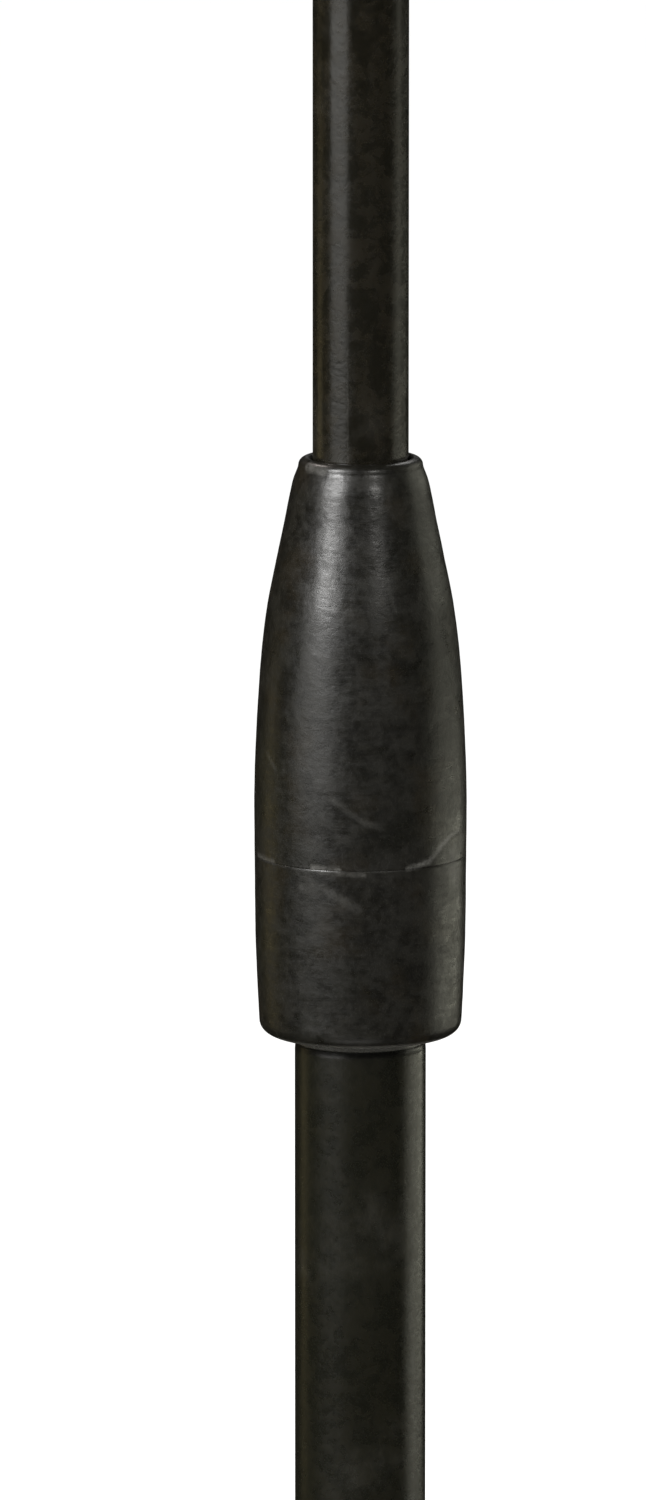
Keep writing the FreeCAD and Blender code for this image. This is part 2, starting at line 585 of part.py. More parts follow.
def hand_knob(label, at, rad, hub, neck, long, bite, bite_at, bore, bore_deep):
    """A scalloped hand knob along its own Z, with a blind threaded bore in its hub face."""
    b = new_body(label)
    revolve(b, [
        (Z0, at), (hub - 0.6, at), (hub, at + 0.6), (hub, at + neck), (rad - 2, at + neck + 1),
        (rad, at + neck + 3), (rad, at + long - 3.2), (rad - 3.2, at + long), (rad * 0.45, at + long + 0.7),
        (Z0, at + long + 0.7)],
        arcs={6: q(3.4)})
    s = circle(new_sketch(b, "XY_Plane", at + neck - 0.5), bite_at, 0, bite)
    cut = pocket(b, s, long, reverse=True)
    polar(b, [cut], 6)
    doc.recompute()
    s = circle(new_sketch(b, "XY_Plane", at - 1), 0, 0, bore)
    pocket(b, s, bore_deep + 1, reverse=True)
    return b


b = hand_knob("lock_knob", D("knob_at"), D("knob_rad"), D("knob_hub"), D("knob_neck"), D("knob_long"),
              D("knob_bite"), D("knob_bite_at"), D("stud_rad"), D("stud_grip"))
place(b, (0, 0, collar_z), BACK_X)

# ----------------------------------------------------------------------------
# tilt head on the mast
# ----------------------------------------------------------------------------
b = new_body("tilt_head")
ur = D("upper_od") / 2
hr = D("head_rad")
revolve(b, [
    (ur, D("head_low")), (hr - 1.2, D("head_low")), (hr, D("head_low") + 1.2), (hr, D("head_high") - 4),
    (hr - 4, D("head_high")), (Z0, D("head_high")), (Z0, D("upper_end")), (ur, D("upper_end"))],
    arcs={3: q(4.2)})
s = outline(new_sketch(b, "YZ_Plane"), [
    (-D("head_round") + 1.5, D("upper_end")), (D("head_round") - 1.5, D("upper_end")),
    (D("head_round"), D("tilt_high")), (-D("head_round"), D("tilt_high"))], arcs={2: D("head_round")})
pad(b, s, D("head_lug") * 2, symmetric=True)
s = circle(new_sketch(b, "YZ_Plane"), 0, D("tilt_high"), D("stud_hole"))
pocket(b, s, q(40), symmetric=True)
s = circle(new_sketch(b, "XZ_Plane"), 0, D("head_rivet_high"), D("head_rivet_rad"))
pocket(b, s, q(40), symmetric=True)

r = rivet("head_rivet", D("head_rivet_rad"), D("head_rad"), q(3.6), q(1.2))
r.Label = "head_rivet"
NODES["head_rivet"] = r
place(r, (0, 0, VALUES["head_rivet_high"]), ALONG_Y)

rings = []
for side in (-1, 1):
    a = cylinder(f"friction_ring_{side + 1}", D("washer_out"), D("washer_thick"), D("head_lug"))
    c = cylinder(f"friction_hole_{side + 1}", D("washer_in"), D("washer_thick") + 2, D("head_lug") - 1)
    cut = doc.addObject("Part::Cut", f"friction_washer_{side + 1}")
    cut.Base, cut.Tool = a, c
    place(cut, (0, 0, VALUES["tilt_high"]), ALONG_X if side > 0 else BACK_X)
    rings.append(cut)
compound("friction_washers", rings)

# ----------------------------------------------------------------------------
# desk. Drawn upright about the tilt pivot, then leaned back.
# ----------------------------------------------------------------------------
LEAN = Rotation(V(1, 0, 0), -VALUES["desk_lean"])
PIVOT = (0, 0, VALUES["tilt_high"])
front, deep, t = D("panel_front"), D("panel_deep"), D("sheet")

b = new_body("desk_panel")
# XZ planes look along -Y, so their offsets and pads run towards the player
w, dn, up, c = D("panel_half"), D("panel_drop"), D("panel_rise"), D("panel_corner")
s = new_sketch(b, "XZ_Plane", front - deep)
k = q(4)
outline(s, [(-w + k, -dn), (w - k, -dn), (w, -dn + k), (w, up - c), (w - c, up), (-w + c, up), (-w, up - c),
            (-w, -dn + k)], arcs={1: k, 3: c, 5: c, 7: k})
pad(b, s, deep)
face_edges = edges_where(b, lambda e: abs(centre(e).y + VALUES["panel_front"]) < 0.01)
dress(b, "Fillet", face_edges, D("panel_edge"))
s = new_sketch(b, "XZ_Plane", front - deep)
wi, dni, upi, ci, ki = w - t, dn - t, up - t, c - t, k - t
outline(s, [(-wi + ki, -dni), (wi - ki, -dni), (wi, -dni + ki), (wi, upi - ci), (wi - ci, upi), (-wi + ci, upi),
            (-wi, upi - ci), (-wi, -dni + ki)], arcs={1: ki, 3: ci, 5: ci, 7: ki})
pocket(b, s, deep - t, reverse=True)
s = new_sketch(b, "XZ_Plane", front - deep)
for x in (-1, 1):
    for z in (-1, 1):
        circle(s, D("rivet_wide") * x, D("rivet_tall") * z, D("desk_rivet_rad"))
pocket(b, s, deep + 2, reverse=True)
place(b, PIVOT, LEAN)

b = new_body("music_ledge")
tray_back = front - deep
s = new_sketch(b, "XY_Plane", -dn - t)
lc = D("ledge_corner")
far = front + D("ledge_deep")
outline(s, [(-w, -far + lc), (-w + lc, -far), (w - lc, -far), (w, -far + lc), (w, -tray_back), (-w, -tray_back)],
        arcs={0: lc, 2: lc})
pad(b, s, t)
s = new_sketch(b, "XZ_Plane", far - t)
lw, lh, lr2 = D("lip_half"), D("ledge_lip"), D("lip_corner")
outline(s, [(-lw, -dn - t), (lw, -dn - t), (lw, -dn + lh - lr2), (lw - lr2, -dn + lh), (-lw + lr2, -dn + lh),
            (-lw, -dn + lh - lr2)], arcs={2: lr2, 4: lr2})
pad(b, s, t)
bend = edges_where(b, lambda e: abs(centre(e).y + far.val) < 0.02 and abs(centre(e).z + dn.val + t.val) < 0.02
                   and e.Length > 400)
dress(b, "Fillet", bend, q(1.1))
place(b, PIVOT, LEAN)

b = new_body("desk_bracket")
pw, ph, pc = D("plate_half_wide"), D("plate_half_high"), D("plate_corner")
root = front - t
s = new_sketch(b, "XZ_Plane", root - D("plate_thick"))
outline(s, [(-pw + pc, -ph), (pw - pc, -ph), (pw, -ph + pc), (pw, ph - pc), (pw - pc, ph), (-pw + pc, ph),
            (-pw, ph - pc), (-pw, -ph + pc)], arcs={1: pc, 3: pc, 5: pc, 7: pc})
pad(b, s, D("plate_thick"))
s = outline(new_sketch(b, "YZ_Plane"), [
    (-root + D("plate_thick") - 0.5, -D("cheek_root")), (Z0, -D("cheek_round")), (Z0, D("cheek_round")),
    (-root + D("plate_thick") - 0.5, D("cheek_root"))], arcs={1: D("cheek_round")})
pad(b, s, (D("cheek_in") + D("cheek_thick")) * 2, symmetric=True)
s = outline(new_sketch(b, "YZ_Plane"), [
    (-root + D("plate_thick"), q(-40)), (q(30), q(-40)), (q(30), q(40)), (-root + D("plate_thick"), q(40))])
pocket(b, s, D("cheek_in") * 2, symmetric=True)
s = circle(new_sketch(b, "YZ_Plane"), 0, 0, D("stud_rad"))
pocket(b, s, q(60), symmetric=True)
s = new_sketch(b, "XZ_Plane", root - D("plate_thick") - 1)
for x in (-1, 1):
    for z in (-1, 1):
        circle(s, D("rivet_wide") * x, D("rivet_tall") * z, D("desk_rivet_rad"))
pocket(b, s, q(6), reverse=True)
place(b, PIVOT, LEAN)

# rivets flush with the reading face, headed on the bracket side
heads = []
shank = D("plate_thick") + t
lean = math.radians(-VALUES["desk_lean"])
for x in (-1, 1):
    for z in (-1, 1):
        r = rivet(f"desk_rivet_{x + 1}_{z + 1}", D("desk_rivet_rad"), shank / 2, D("desk_rivet_head"), q(1.3),
                  low_head=False)
        y = -(VALUES["panel_front"] - VALUES["sheet"] / 2 - VALUES["plate_thick"] / 2)
        p = LEAN.multVec(V(x * VALUES["rivet_wide"], y, z * VALUES["rivet_tall"])) + V(*PIVOT)
        r.Placement = Placement(p, LEAN * ALONG_Y)
        heads.append(r)
compound("bracket_rivets", heads)

outer = D("cheek_in") + D("cheek_thick")
b = new_body("tilt_bolt")
br = D("bolt_head_rad")
revolve(b, [
    (Z0, -outer - D("bolt_head_thick")), (br - 3, -outer - D("bolt_head_thick")),
    (br, -outer - 1.4), (br, -outer), (D("stud_rad"), -outer), (D("stud_rad"), D("bolt_end") - 1),
    (D("stud_rad") - 1, D("bolt_end")), (Z0, D("bolt_end"))], arcs={1: q(5.2)})
place(b, PIVOT, LEAN * ALONG_X)

b = new_body("pressure_washer")
pa = outer + D("press_air")
revolve(b, [(D("press_in"), pa), (D("press_out") - 0.5, pa), (D("press_out"), pa + 0.5),
            (D("press_out"), pa + D("press_thick")), (D("press_in"), pa + D("press_thick"))])
place(b, PIVOT, LEAN * ALONG_X)

b = hand_knob("tilt_knob", pa + D("press_thick") + 0.1, D("tilt_knob_rad"), D("tilt_knob_hub"),
              D("tilt_knob_neck"), D("tilt_knob_long"), D("tilt_bite"), D("tilt_bite_at"), D("stud_hole"), q(17))
place(b, PIVOT, LEAN * ALONG_X)

# ----------------------------------------------------------------------------
# check and write
# ----------------------------------------------------------------------------
doc.recompute()
bad = [o.Label for o in doc.Objects if any(x in ("Invalid", "Error") for x in o.State)]
if bad:
    raise RuntimeError(f"failed objects: {bad}")
os.makedirs("parts", exist_ok=True)
for old in os.listdir("parts"):
    if old.endswith(".step"):
        os.remove(os.path.join("parts", old))
for label, obj in NODES.items():
    shape = obj.Shape
    if shape.isNull() or not shape.isValid() or not shape.Solids:
        raise RuntimeError(f"{label} has no valid shape")
    shape.exportStep(os.path.join("parts", label + ".step"))
    bb = shape.BoundBox
    print(f"{label:20s} solids {len(shape.Solids)} volume {shape.Volume:10.1f} "
          f"x {bb.XMin:8.2f} {bb.XMax:8.2f} y {bb.YMin:8.2f} {bb.YMax:8.2f} z {bb.ZMin:8.2f} {bb.ZMax:8.2f}")
print(f"{len(NODES)} nodes, collar pivot at {collar_z:.4f}")
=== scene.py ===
"""Looks of the music stand: dense turned and pressed meshes with procedural finishes, a pale floor and soft studio light."""
import json
import math

import bmesh
import bpy
from mathutils import Euler, Matrix, Vector, noise


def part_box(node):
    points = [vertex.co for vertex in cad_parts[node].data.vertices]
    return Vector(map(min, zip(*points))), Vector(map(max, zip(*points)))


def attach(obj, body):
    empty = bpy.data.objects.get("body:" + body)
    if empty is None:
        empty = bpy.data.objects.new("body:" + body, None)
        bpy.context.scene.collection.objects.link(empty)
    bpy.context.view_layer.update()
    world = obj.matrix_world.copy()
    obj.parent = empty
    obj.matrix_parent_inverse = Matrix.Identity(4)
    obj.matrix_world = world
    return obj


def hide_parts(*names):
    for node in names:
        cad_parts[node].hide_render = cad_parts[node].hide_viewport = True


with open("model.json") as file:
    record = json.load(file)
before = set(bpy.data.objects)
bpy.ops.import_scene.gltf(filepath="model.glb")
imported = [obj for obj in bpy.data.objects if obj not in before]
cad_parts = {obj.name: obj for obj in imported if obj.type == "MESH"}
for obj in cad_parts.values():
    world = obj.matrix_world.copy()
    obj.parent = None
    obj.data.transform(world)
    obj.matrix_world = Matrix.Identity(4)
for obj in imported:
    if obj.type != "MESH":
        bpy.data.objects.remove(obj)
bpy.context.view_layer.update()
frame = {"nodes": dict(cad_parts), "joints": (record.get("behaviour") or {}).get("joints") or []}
NODES = frame["nodes"]
PI = math.pi
MM = 0.001

# ----------------------------------------------------------------------------
# where things are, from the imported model
# ----------------------------------------------------------------------------
JOINT = {j["name"]: j for j in frame["joints"]}
PIVOT = Vector(JOINT["desk_tilt"]["pos_m"])
COLLAR_Z = JOINT["collar_pivot"]["pos_m"][2]
HUB_Z = JOINT["leg_fold"]["pos_m"][2]
PIVOT_RHO = JOINT["leg_fold"]["pos_m"][0]
KNEE = Vector(JOINT["leg_1_pivot"]["pos_m"])
THETA = math.atan2(KNEE.x - PIVOT_RHO, KNEE.z - HUB_Z)
LINK = math.hypot(KNEE.x - PIVOT_RHO, KNEE.z - HUB_Z)
LEAN = Matrix.Rotation(-math.radians(22.0), 4, "X")
DESK = Matrix.Translation(PIVOT) @ LEAN
SPIN = [Matrix.Rotation(math.radians(a), 4, "Z") for a in (0.0, 120.0, 240.0)]


def leg_frame(i):
    """A leg's own frame: pivot at its collar pin, -Z down the leg, Y across it."""
    return SPIN[i] @ Matrix.Translation((PIVOT_RHO, 0, COLLAR_Z)) @ Matrix.Rotation(-THETA, 4, "Y")


def brace_frame(i):
    """A brace's own frame: hub pin at the origin, knee pin up its Z."""
    return SPIN[i] @ Matrix.Translation((PIVOT_RHO, 0, HUB_Z)) @ Matrix.Rotation(THETA, 4, "Y")


# ----------------------------------------------------------------------------
# node materials
# ----------------------------------------------------------------------------
class Graph:
    """A short way to wire shader nodes."""

    def __init__(self, name):
        self.mat = bpy.data.materials.new(name)
        self.mat.use_nodes = True
        self.nt = self.mat.node_tree
        self.nt.nodes.clear()
        self.out = self.add("ShaderNodeOutputMaterial")
        self.bsdf = self.add("ShaderNodeBsdfPrincipled")
        self.link(self.bsdf.outputs["BSDF"], self.out.inputs["Surface"])
        self.coord = self.add("ShaderNodeTexCoord").outputs["Object"]

    def add(self, kind, **props):
        n = self.nt.nodes.new(kind)
        for k, v in props.items():
            setattr(n, k, v)
        return n

    def link(self, a, b):
        self.nt.links.new(a, b)

    def put(self, socket, value):
        if isinstance(value, bpy.types.NodeSocket):
            self.link(value, socket)
        else:
            socket.default_value = value

    def scaled(self, x, y, z):
        m = self.add("ShaderNodeMapping")
        m.inputs["Scale"].default_value = (x, y, z)
        self.link(self.coord, m.inputs["Vector"])
        return m.outputs["Vector"]

    def noise(self, scale, detail=3.0, rough=0.5, vector=None, distortion=0.0):
        n = self.add("ShaderNodeTexNoise")
        self.put(n.inputs["Vector"], vector or self.coord)
        n.inputs["Scale"].default_value = scale
        n.inputs["Detail"].default_value = detail
        n.inputs["Roughness"].default_value = rough
        n.inputs["Distortion"].default_value = distortion
        return n.outputs["Fac"]

    def cells(self, scale, vector=None, feature="F1"):
        n = self.add("ShaderNodeTexVoronoi", feature=feature)
        self.put(n.inputs["Vector"], vector or self.coord)
        n.inputs["Scale"].default_value = scale
        return n.outputs["Distance"]

    def span(self, value, low, high, to_low=0.0, to_high=1.0, smooth=True):
        n = self.add("ShaderNodeMapRange")
        n.interpolation_type = "SMOOTHSTEP" if smooth else "LINEAR"
        self.put(n.inputs["Value"], value)
        n.inputs["From Min"].default_value = low
        n.inputs["From Max"].default_value = high
        n.inputs["To Min"].default_value = to_low
        n.inputs["To Max"].default_value = to_high
        return n.outputs["Result"]

    def math(self, op, a, b=0.0, clamp=False):
        n = self.add("ShaderNodeMath", operation=op, use_clamp=clamp)
        self.put(n.inputs[0], a)
        self.put(n.inputs[1], b)
        return n.outputs[0]

    def mix(self, fac, a, b):
        n = self.add("ShaderNodeMix", data_type="RGBA")
        self.put(n.inputs[0], fac)
        self.put(n.inputs[6], (*a, 1.0) if isinstance(a, tuple) else a)
        self.put(n.inputs[7], (*b, 1.0) if isinstance(b, tuple) else b)
        return n.outputs[2]

    def attribute(self, name):
        return self.add("ShaderNodeAttribute", attribute_name=name).outputs["Fac"]

    def edge(self, low=0.53, high=0.60):
        g = self.add("ShaderNodeNewGeometry")
        return self.span(g.outputs["Pointiness"], low, high)

    def bump(self, height, distance, strength=1.0, under=None):
        n = self.add("ShaderNodeBump")
        n.inputs["Distance"].default_value = distance
        n.inputs["Strength"].default_value = strength
        self.link(height, n.inputs["Height"])
        if under is not None:
            self.link(under, n.inputs["Normal"])
        return n.outputs["Normal"]

    def finish(self, color, rough, normal=None, metallic=0.0, specular=0.5, coat=0.0, coat_rough=0.2):
        b = self.bsdf
        self.put(b.inputs["Base Color"], (*color, 1.0) if isinstance(color, tuple) else color)
        self.put(b.inputs["Roughness"], rough)
        b.inputs["Metallic"].default_value = metallic
        b.inputs["Specular IOR Level"].default_value = specular
        b.inputs["Coat Weight"].default_value = coat
        b.inputs["Coat Roughness"].default_value = coat_rough
        if normal is not None:
            self.link(normal, b.inputs["Normal"])
        return self.mat


def painted_highlight_and_shadow_line(g, col, r):
    """A painted highlight line with a painted shadow line under it, where an attribute asks for them."""
    a = g.attribute("line")
    # painted highlight: a lighter line standing in for light reflected just under the clutch housing
    col = g.mix(g.span(a, 0.0, 1.0, 0.0, 0.8, smooth=False), col, (0.050, 0.048, 0.042))
    # painted shadow: a dark line standing in for the housing's contact shadow on the tube
    col = g.mix(g.span(a, 0.0, -1.0, 0.0, 0.8, smooth=False), col, (0.0015, 0.0014, 0.0010))
    return col, g.math("ADD", r, g.span(a, 0.0, 1.0, 0.0, -0.06, smooth=False))


def powder_coat(name, color, rough=0.42, grain=0.9, rub=False, peel=1.0, worn=(0.10, 0.098, 0.09), clouds=1.0,
                gloss=0.46, mottle=0.4):
    """Satin black powder coat: orange peel, a fine speckle, faint cloudiness and thin worn edges."""
    g = Graph(name)
    cloud = g.noise(28.0, 3.0, 0.55)
    peel_n = g.noise(1000.0 / grain, 3.0, 0.5)
    speck = g.noise(5200.0, 2.0, 0.6)
    dark = tuple(c * 0.86 for c in color)
    light = tuple(c * 1.2 for c in color)
    col = g.mix(g.span(cloud, 0.32, 0.68), dark, light)
    if clouds < 1.0:
        col = g.mix(clouds, tuple(color), col)
    blot = g.noise(330.0, 4.0, 0.62, distortion=0.5)
    col = g.mix(g.span(blot, 0.40, 0.62, 0.0, 0.55 * mottle), col, tuple(c * k for c, k in zip(color, (1.7, 1.45, 1.1))))
    col = g.mix(g.span(blot, 0.60, 0.38, 0.0, 0.45 * mottle), col, tuple(c * 0.55 for c in color))
    col = g.mix(g.span(speck, 0.62, 0.80, 0.0, 0.22), col, tuple(min(c * 3.2, 1.0) for c in color))
    # dust that has settled into the coat, in soft streaks
    dust = g.math("MULTIPLY", g.span(g.noise(60.0, 5.0, 0.65), 0.52, 0.78), 0.10)
    col = g.mix(dust, col, (0.085, 0.080, 0.070))
    edge = g.math("MULTIPLY", g.edge(0.56, 0.66), g.span(g.noise(420.0, 3.0, 0.6), 0.40, 0.62, 0.0, 0.65))
    col = g.mix(edge, col, worn)
    r = g.span(cloud, 0.3, 0.7, rough - 0.035 * clouds, rough + 0.035 * clouds)
    r = g.math("ADD", r, g.span(peel_n, 0.3, 0.7, -0.025, 0.025))
    r = g.math("ADD", r, g.span(blot, 0.36, 0.64, -0.035 * mottle, 0.045 * mottle))
    if rub:
        # fine lengthways rub marks left by the collet and bush
        lines = g.noise(1.0, 4.0, 0.65, vector=g.scaled(1500.0, 1500.0, 9.0))
        marks = g.math("MULTIPLY", g.span(lines, 0.60, 0.74), g.span(g.noise(9.0, 2.0, 0.5), 0.42, 0.66))
        col = g.mix(g.math("MULTIPLY", marks, 0.22), col, (0.075, 0.072, 0.066))
        r = g.math("SUBTRACT", r, g.math("MULTIPLY", marks, 0.06))
    # the lower tube gets a painted highlight line and a painted shadow line just under the clutch housing
    if name.startswith("lower_tube"):
        col, r = painted_highlight_and_shadow_line(g, col, r)
    n = g.bump(peel_n, 0.000035 * peel, 0.7)
    n = g.bump(blot, 0.00010, 0.45 * mottle, n)
    n = g.bump(speck, 0.000004, 0.5, n)
    return g.finish(col, r, n, specular=gloss)


def moulded(name, color, rough=0.40, scuffs_and_glints=False, grain=1.0):
    """Moulded or cast black: a mottled skin with softly varying gloss, and scuffs, painted glints and a painted
    highlight line where attributes ask for them.
    """
    g = Graph(name)
    patch = g.noise(210.0, 4.0, 0.6, distortion=0.4)
    broad = g.noise(38.0, 2.0, 0.5)
    pebble = g.noise(1150.0 / grain, 3.0, 0.55)
    fleck = g.noise(520.0, 3.0, 0.6, distortion=0.6)
    dark = tuple(c * 0.70 for c in color)
    light = tuple(c * 1.40 for c in color)
    col = g.mix(g.span(g.math("ADD", g.math("MULTIPLY", patch, 0.5), g.math("MULTIPLY", fleck, 0.5)), 0.38, 0.62), dark, light)
    warm = g.noise(125.0, 3.0, 0.55)
    col = g.mix(g.span(warm, 0.50, 0.72, 0.0, 0.5), col, (color[0] * 1.9, color[1] * 1.45, color[2] * 0.75))
    col = g.mix(g.span(broad, 0.45, 0.75, 0.0, 0.3), col, (color[0] * 0.9, color[1] * 1.15, color[2] * 0.8))
    r = g.span(g.math("ADD", g.math("MULTIPLY", patch, 0.6), g.math("MULTIPLY", fleck, 0.4)), 0.35, 0.65, rough - 0.06, rough + 0.06)
    r = g.math("ADD", r, g.span(pebble, 0.30, 0.70, -0.02, 0.03))
    if not scuffs_and_glints:
        edge = g.math("MULTIPLY", g.edge(0.56, 0.68), g.span(g.noise(500.0, 3.0, 0.6), 0.38, 0.62, 0.0, 0.55))
        col = g.mix(edge, col, (0.10, 0.098, 0.09))
    else:
        # scuffs lighten the colour; the glint marks among them are painted highlights
        s = g.attribute("scuff_and_glint")
        # painted highlight: a lighter line where the line attribute asks, standing in for floor light reflected on the
        # housing's bottom lip
        col = g.mix(g.math("MULTIPLY", g.attribute("line"), 0.80), col, (0.050, 0.048, 0.042))
        hatch = g.span(g.noise(1700.0, 3.0, 0.6), 0.22, 0.60, 0.25, 1.0)
        s = g.math("MULTIPLY", s, hatch, clamp=True)
        col = g.mix(g.math("MULTIPLY", s, 0.75), col, (0.105, 0.102, 0.092))
        r = g.math("ADD", r, g.math("MULTIPLY", s, 0.10))
    streak = g.noise(1.0, 4.0, 0.6, vector=g.scaled(190.0, 190.0, 1500.0))
    r = g.math("ADD", r, g.span(streak, 0.35, 0.65, -0.03, 0.03))
    grainy = g.noise(620.0, 4.0, 0.62, vector=g.scaled(1.0, 1.0, 2.2), distortion=0.4)
    n = g.bump(pebble, 0.000005, 0.6)
    n = g.bump(grainy, 0.000045, 0.6, n)
    n = g.bump(streak, 0.000010, 0.6, n)
    n = g.bump(patch, 0.00016, 0.6, n)
    return g.finish(col, r, n, specular=0.6 if scuffs_and_glints else 0.5)


def plated(name, color=(0.58, 0.575, 0.56), rough=0.30):
    """Bright zinc-plated steel with fine turning marks and a little dulling."""
    g = Graph(name)
    fine = g.noise(3800.0, 3.0, 0.6)
    dull = g.noise(330.0, 4.0, 0.6)
    col = g.mix(g.span(dull, 0.35, 0.7), tuple(c * 0.86 for c in color), color)
    r = g.span(dull, 0.3, 0.7, rough - 0.06, rough + 0.10)
    n = g.bump(fine, 0.000010, 0.6)
    return g.finish(col, r, n, metallic=1.0)


def nylon(name, color=(0.62, 0.60, 0.53)):
    """Natural nylon: milky, faintly mottled, low gloss."""
    g = Graph(name)
    m = g.noise(480.0, 3.0, 0.5)
    col = g.mix(g.span(m, 0.3, 0.7), tuple(c * 0.92 for c in color), color)
    n = g.bump(g.noise(2100.0, 2.0, 0.5), 0.00002, 0.5)
    mat = g.finish(col, g.span(m, 0.3, 0.7, 0.42, 0.52), n)
    g.bsdf.inputs["Subsurface Weight"].default_value = 0.12
    g.bsdf.inputs["Subsurface Radius"].default_value = (0.002, 0.0018, 0.0014)
    return mat


def rubber(name, color=(0.011, 0.011, 0.0108)):
    """Matt rubber with a bloom of dust, heavier low down where it meets the floor."""
    g = Graph(name)
    m = g.noise(260.0, 4.0, 0.6)
    sep = g.add("ShaderNodeSeparateXYZ")
    g.link(g.coord, sep.inputs[0])
    low = g.span(sep.outputs["Z"], 0.018, 0.001, 0.0, 0.5)
    bloom = g.math("MULTIPLY", g.span(m, 0.40, 0.72), g.math("ADD", low, 0.22))
    col = g.mix(bloom, color, (0.080, 0.076, 0.068))
    n = g.bump(g.noise(1500.0, 4.0, 0.6), 0.00010, 0.7)
    return g.finish(col, g.span(m, 0.3, 0.7, 0.66, 0.82), n, specular=0.35)


BLACK = (0.0052, 0.0046, 0.0025)
M_TUBE = powder_coat("tube_powder_coat", BLACK, rough=0.25, rub=True, gloss=0.52, mottle=1.0)
M_TUBE_LOW = powder_coat("lower_tube_powder_coat", (0.0049, 0.0049, 0.0027), rough=0.29, gloss=0.36, mottle=0.62)
M_CLUTCH = moulded("clutch_moulded_black", (0.0056, 0.0051, 0.0034), rough=0.35, scuffs_and_glints=True)
M_CAST = powder_coat("cast_powder_coat", (0.0078, 0.0074, 0.0056), rough=0.46, grain=1.3, peel=1.6)
M_LEG = powder_coat("leg_powder_coat", BLACK, rough=0.42)
M_DESK = powder_coat("desk_powder_coat", (0.0095, 0.0091, 0.0076), rough=0.60, grain=1.1, peel=1.8, clouds=0.4, gloss=0.30)
M_KNOB = moulded("knob_moulded_black", (0.0088, 0.0086, 0.0080), rough=0.42)
M_STEEL = plated("zinc_plated_steel")
M_NYLON = nylon("natural_nylon")
M_RUBBER = rubber("foot_rubber")


# ----------------------------------------------------------------------------
# mesh builders
# ----------------------------------------------------------------------------
def add_piece(name, mesh, mat, body, nodes=(), matrix=None, sharp=None):
    """Puts a finished mesh in the row frame, on its body."""
    if matrix is not None:
        mesh.transform(matrix)
    mesh.materials.clear()
    mesh.materials.append(mat)
    for p in mesh.polygons:
        p.use_smooth = True
    if sharp is not None:
        mesh.set_sharp_from_angle(angle=math.radians(sharp))
    mesh.validate()
    obj = bpy.data.objects.new(name, mesh)
    bpy.context.scene.collection.objects.link(obj)
    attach(obj, body)
    if nodes:
        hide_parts(*nodes)
    return obj


def mesh_of(name, verts, faces):
    me = bpy.data.meshes.new(name)
    me.from_pydata([tuple(v) for v in verts], [], faces)
    me.update()
    return me


def smooth_path(points, step):
    """Points along a path through (r, z) pairs in mm. A third value gives a corner its rounding radius."""
    pts = [(p[0], p[1], p[2] if len(p) > 2 else 0.0) for p in points]
    out = []
    n = len(pts)
    for i in range(n):
        x, y, r = pts[i]
        if r <= 0:
            out.append((x, y))
            continue
        a = Vector((pts[i - 1][0] - x, pts[i - 1][1] - y))
        b = Vector((pts[(i + 1) % n][0] - x, pts[(i + 1) % n][1] - y))
        ua, ub = a.normalized(), b.normalized()
        turn = PI - ua.angle(ub)
        cut = min(r * math.tan(turn / 2), a.length * 0.49, b.length * 0.49)
        rr = cut / math.tan(turn / 2)
        bis = (ua + ub).normalized()
        c = Vector((x, y)) + bis * (rr / math.cos(turn / 2))
        p0 = Vector((x, y)) + ua * cut
        p1 = Vector((x, y)) + ub * cut
        v0, v1 = p0 - c, p1 - c
        steps = max(2, int(math.ceil(turn / math.radians(12))))
        ang0 = math.atan2(v0.y, v0.x)
        d = math.atan2(v0.x * v1.y - v0.y * v1.x, v0.dot(v1))
        for k in range(steps + 1):
            t = ang0 + d * k / steps
            out.append((c.x + rr * math.cos(t), c.y + rr * math.sin(t)))
    dense = []
    for i in range(len(out)):
        p, q = Vector(out[i]), Vector(out[(i + 1) % len(out)])
        k = max(1, int(math.ceil((q - p).length / step)))
        for s in range(k):
            dense.append(tuple(p.lerp(q, s / k)))
    return dense


def curve_through(points, step):
    """A smooth line through (r, z) points in mm, evenly stepped."""
    pts = [Vector(p) for p in points]
    out = []
    for i in range(len(pts) - 1):
        p0 = pts[i - 1] if i > 0 else pts[0] * 2 - pts[1]
        p1, p2 = pts[i], pts[i + 1]
        p3 = pts[i + 2] if i + 2 < len(pts) else pts[-1] * 2 - pts[-2]
        k = max(1, int(math.ceil((p2 - p1).length / step)))
        t0, t1 = 0.0, (p1 - p0).length ** 0.5
        t2 = t1 + (p2 - p1).length ** 0.5
        t3 = t2 + (p3 - p2).length ** 0.5
        for s in range(k):
            t = t1 + (t2 - t1) * s / k
            a1 = p0 * ((t1 - t) / (t1 - t0)) + p1 * ((t - t0) / (t1 - t0))
            a2 = p1 * ((t2 - t) / (t2 - t1)) + p2 * ((t - t1) / (t2 - t1))
            a3 = p2 * ((t3 - t) / (t3 - t2)) + p3 * ((t - t2) / (t3 - t2))
            b1 = a1 * ((t2 - t) / (t2 - t0)) + a2 * ((t - t0) / (t2 - t0))
            b2 = a2 * ((t3 - t) / (t3 - t1)) + a3 * ((t - t1) / (t3 - t1))
            out.append(tuple(b1 * ((t2 - t) / (t2 - t1)) + b2 * ((t - t1) / (t2 - t1))))
    out.append(tuple(pts[-1]))
    return out


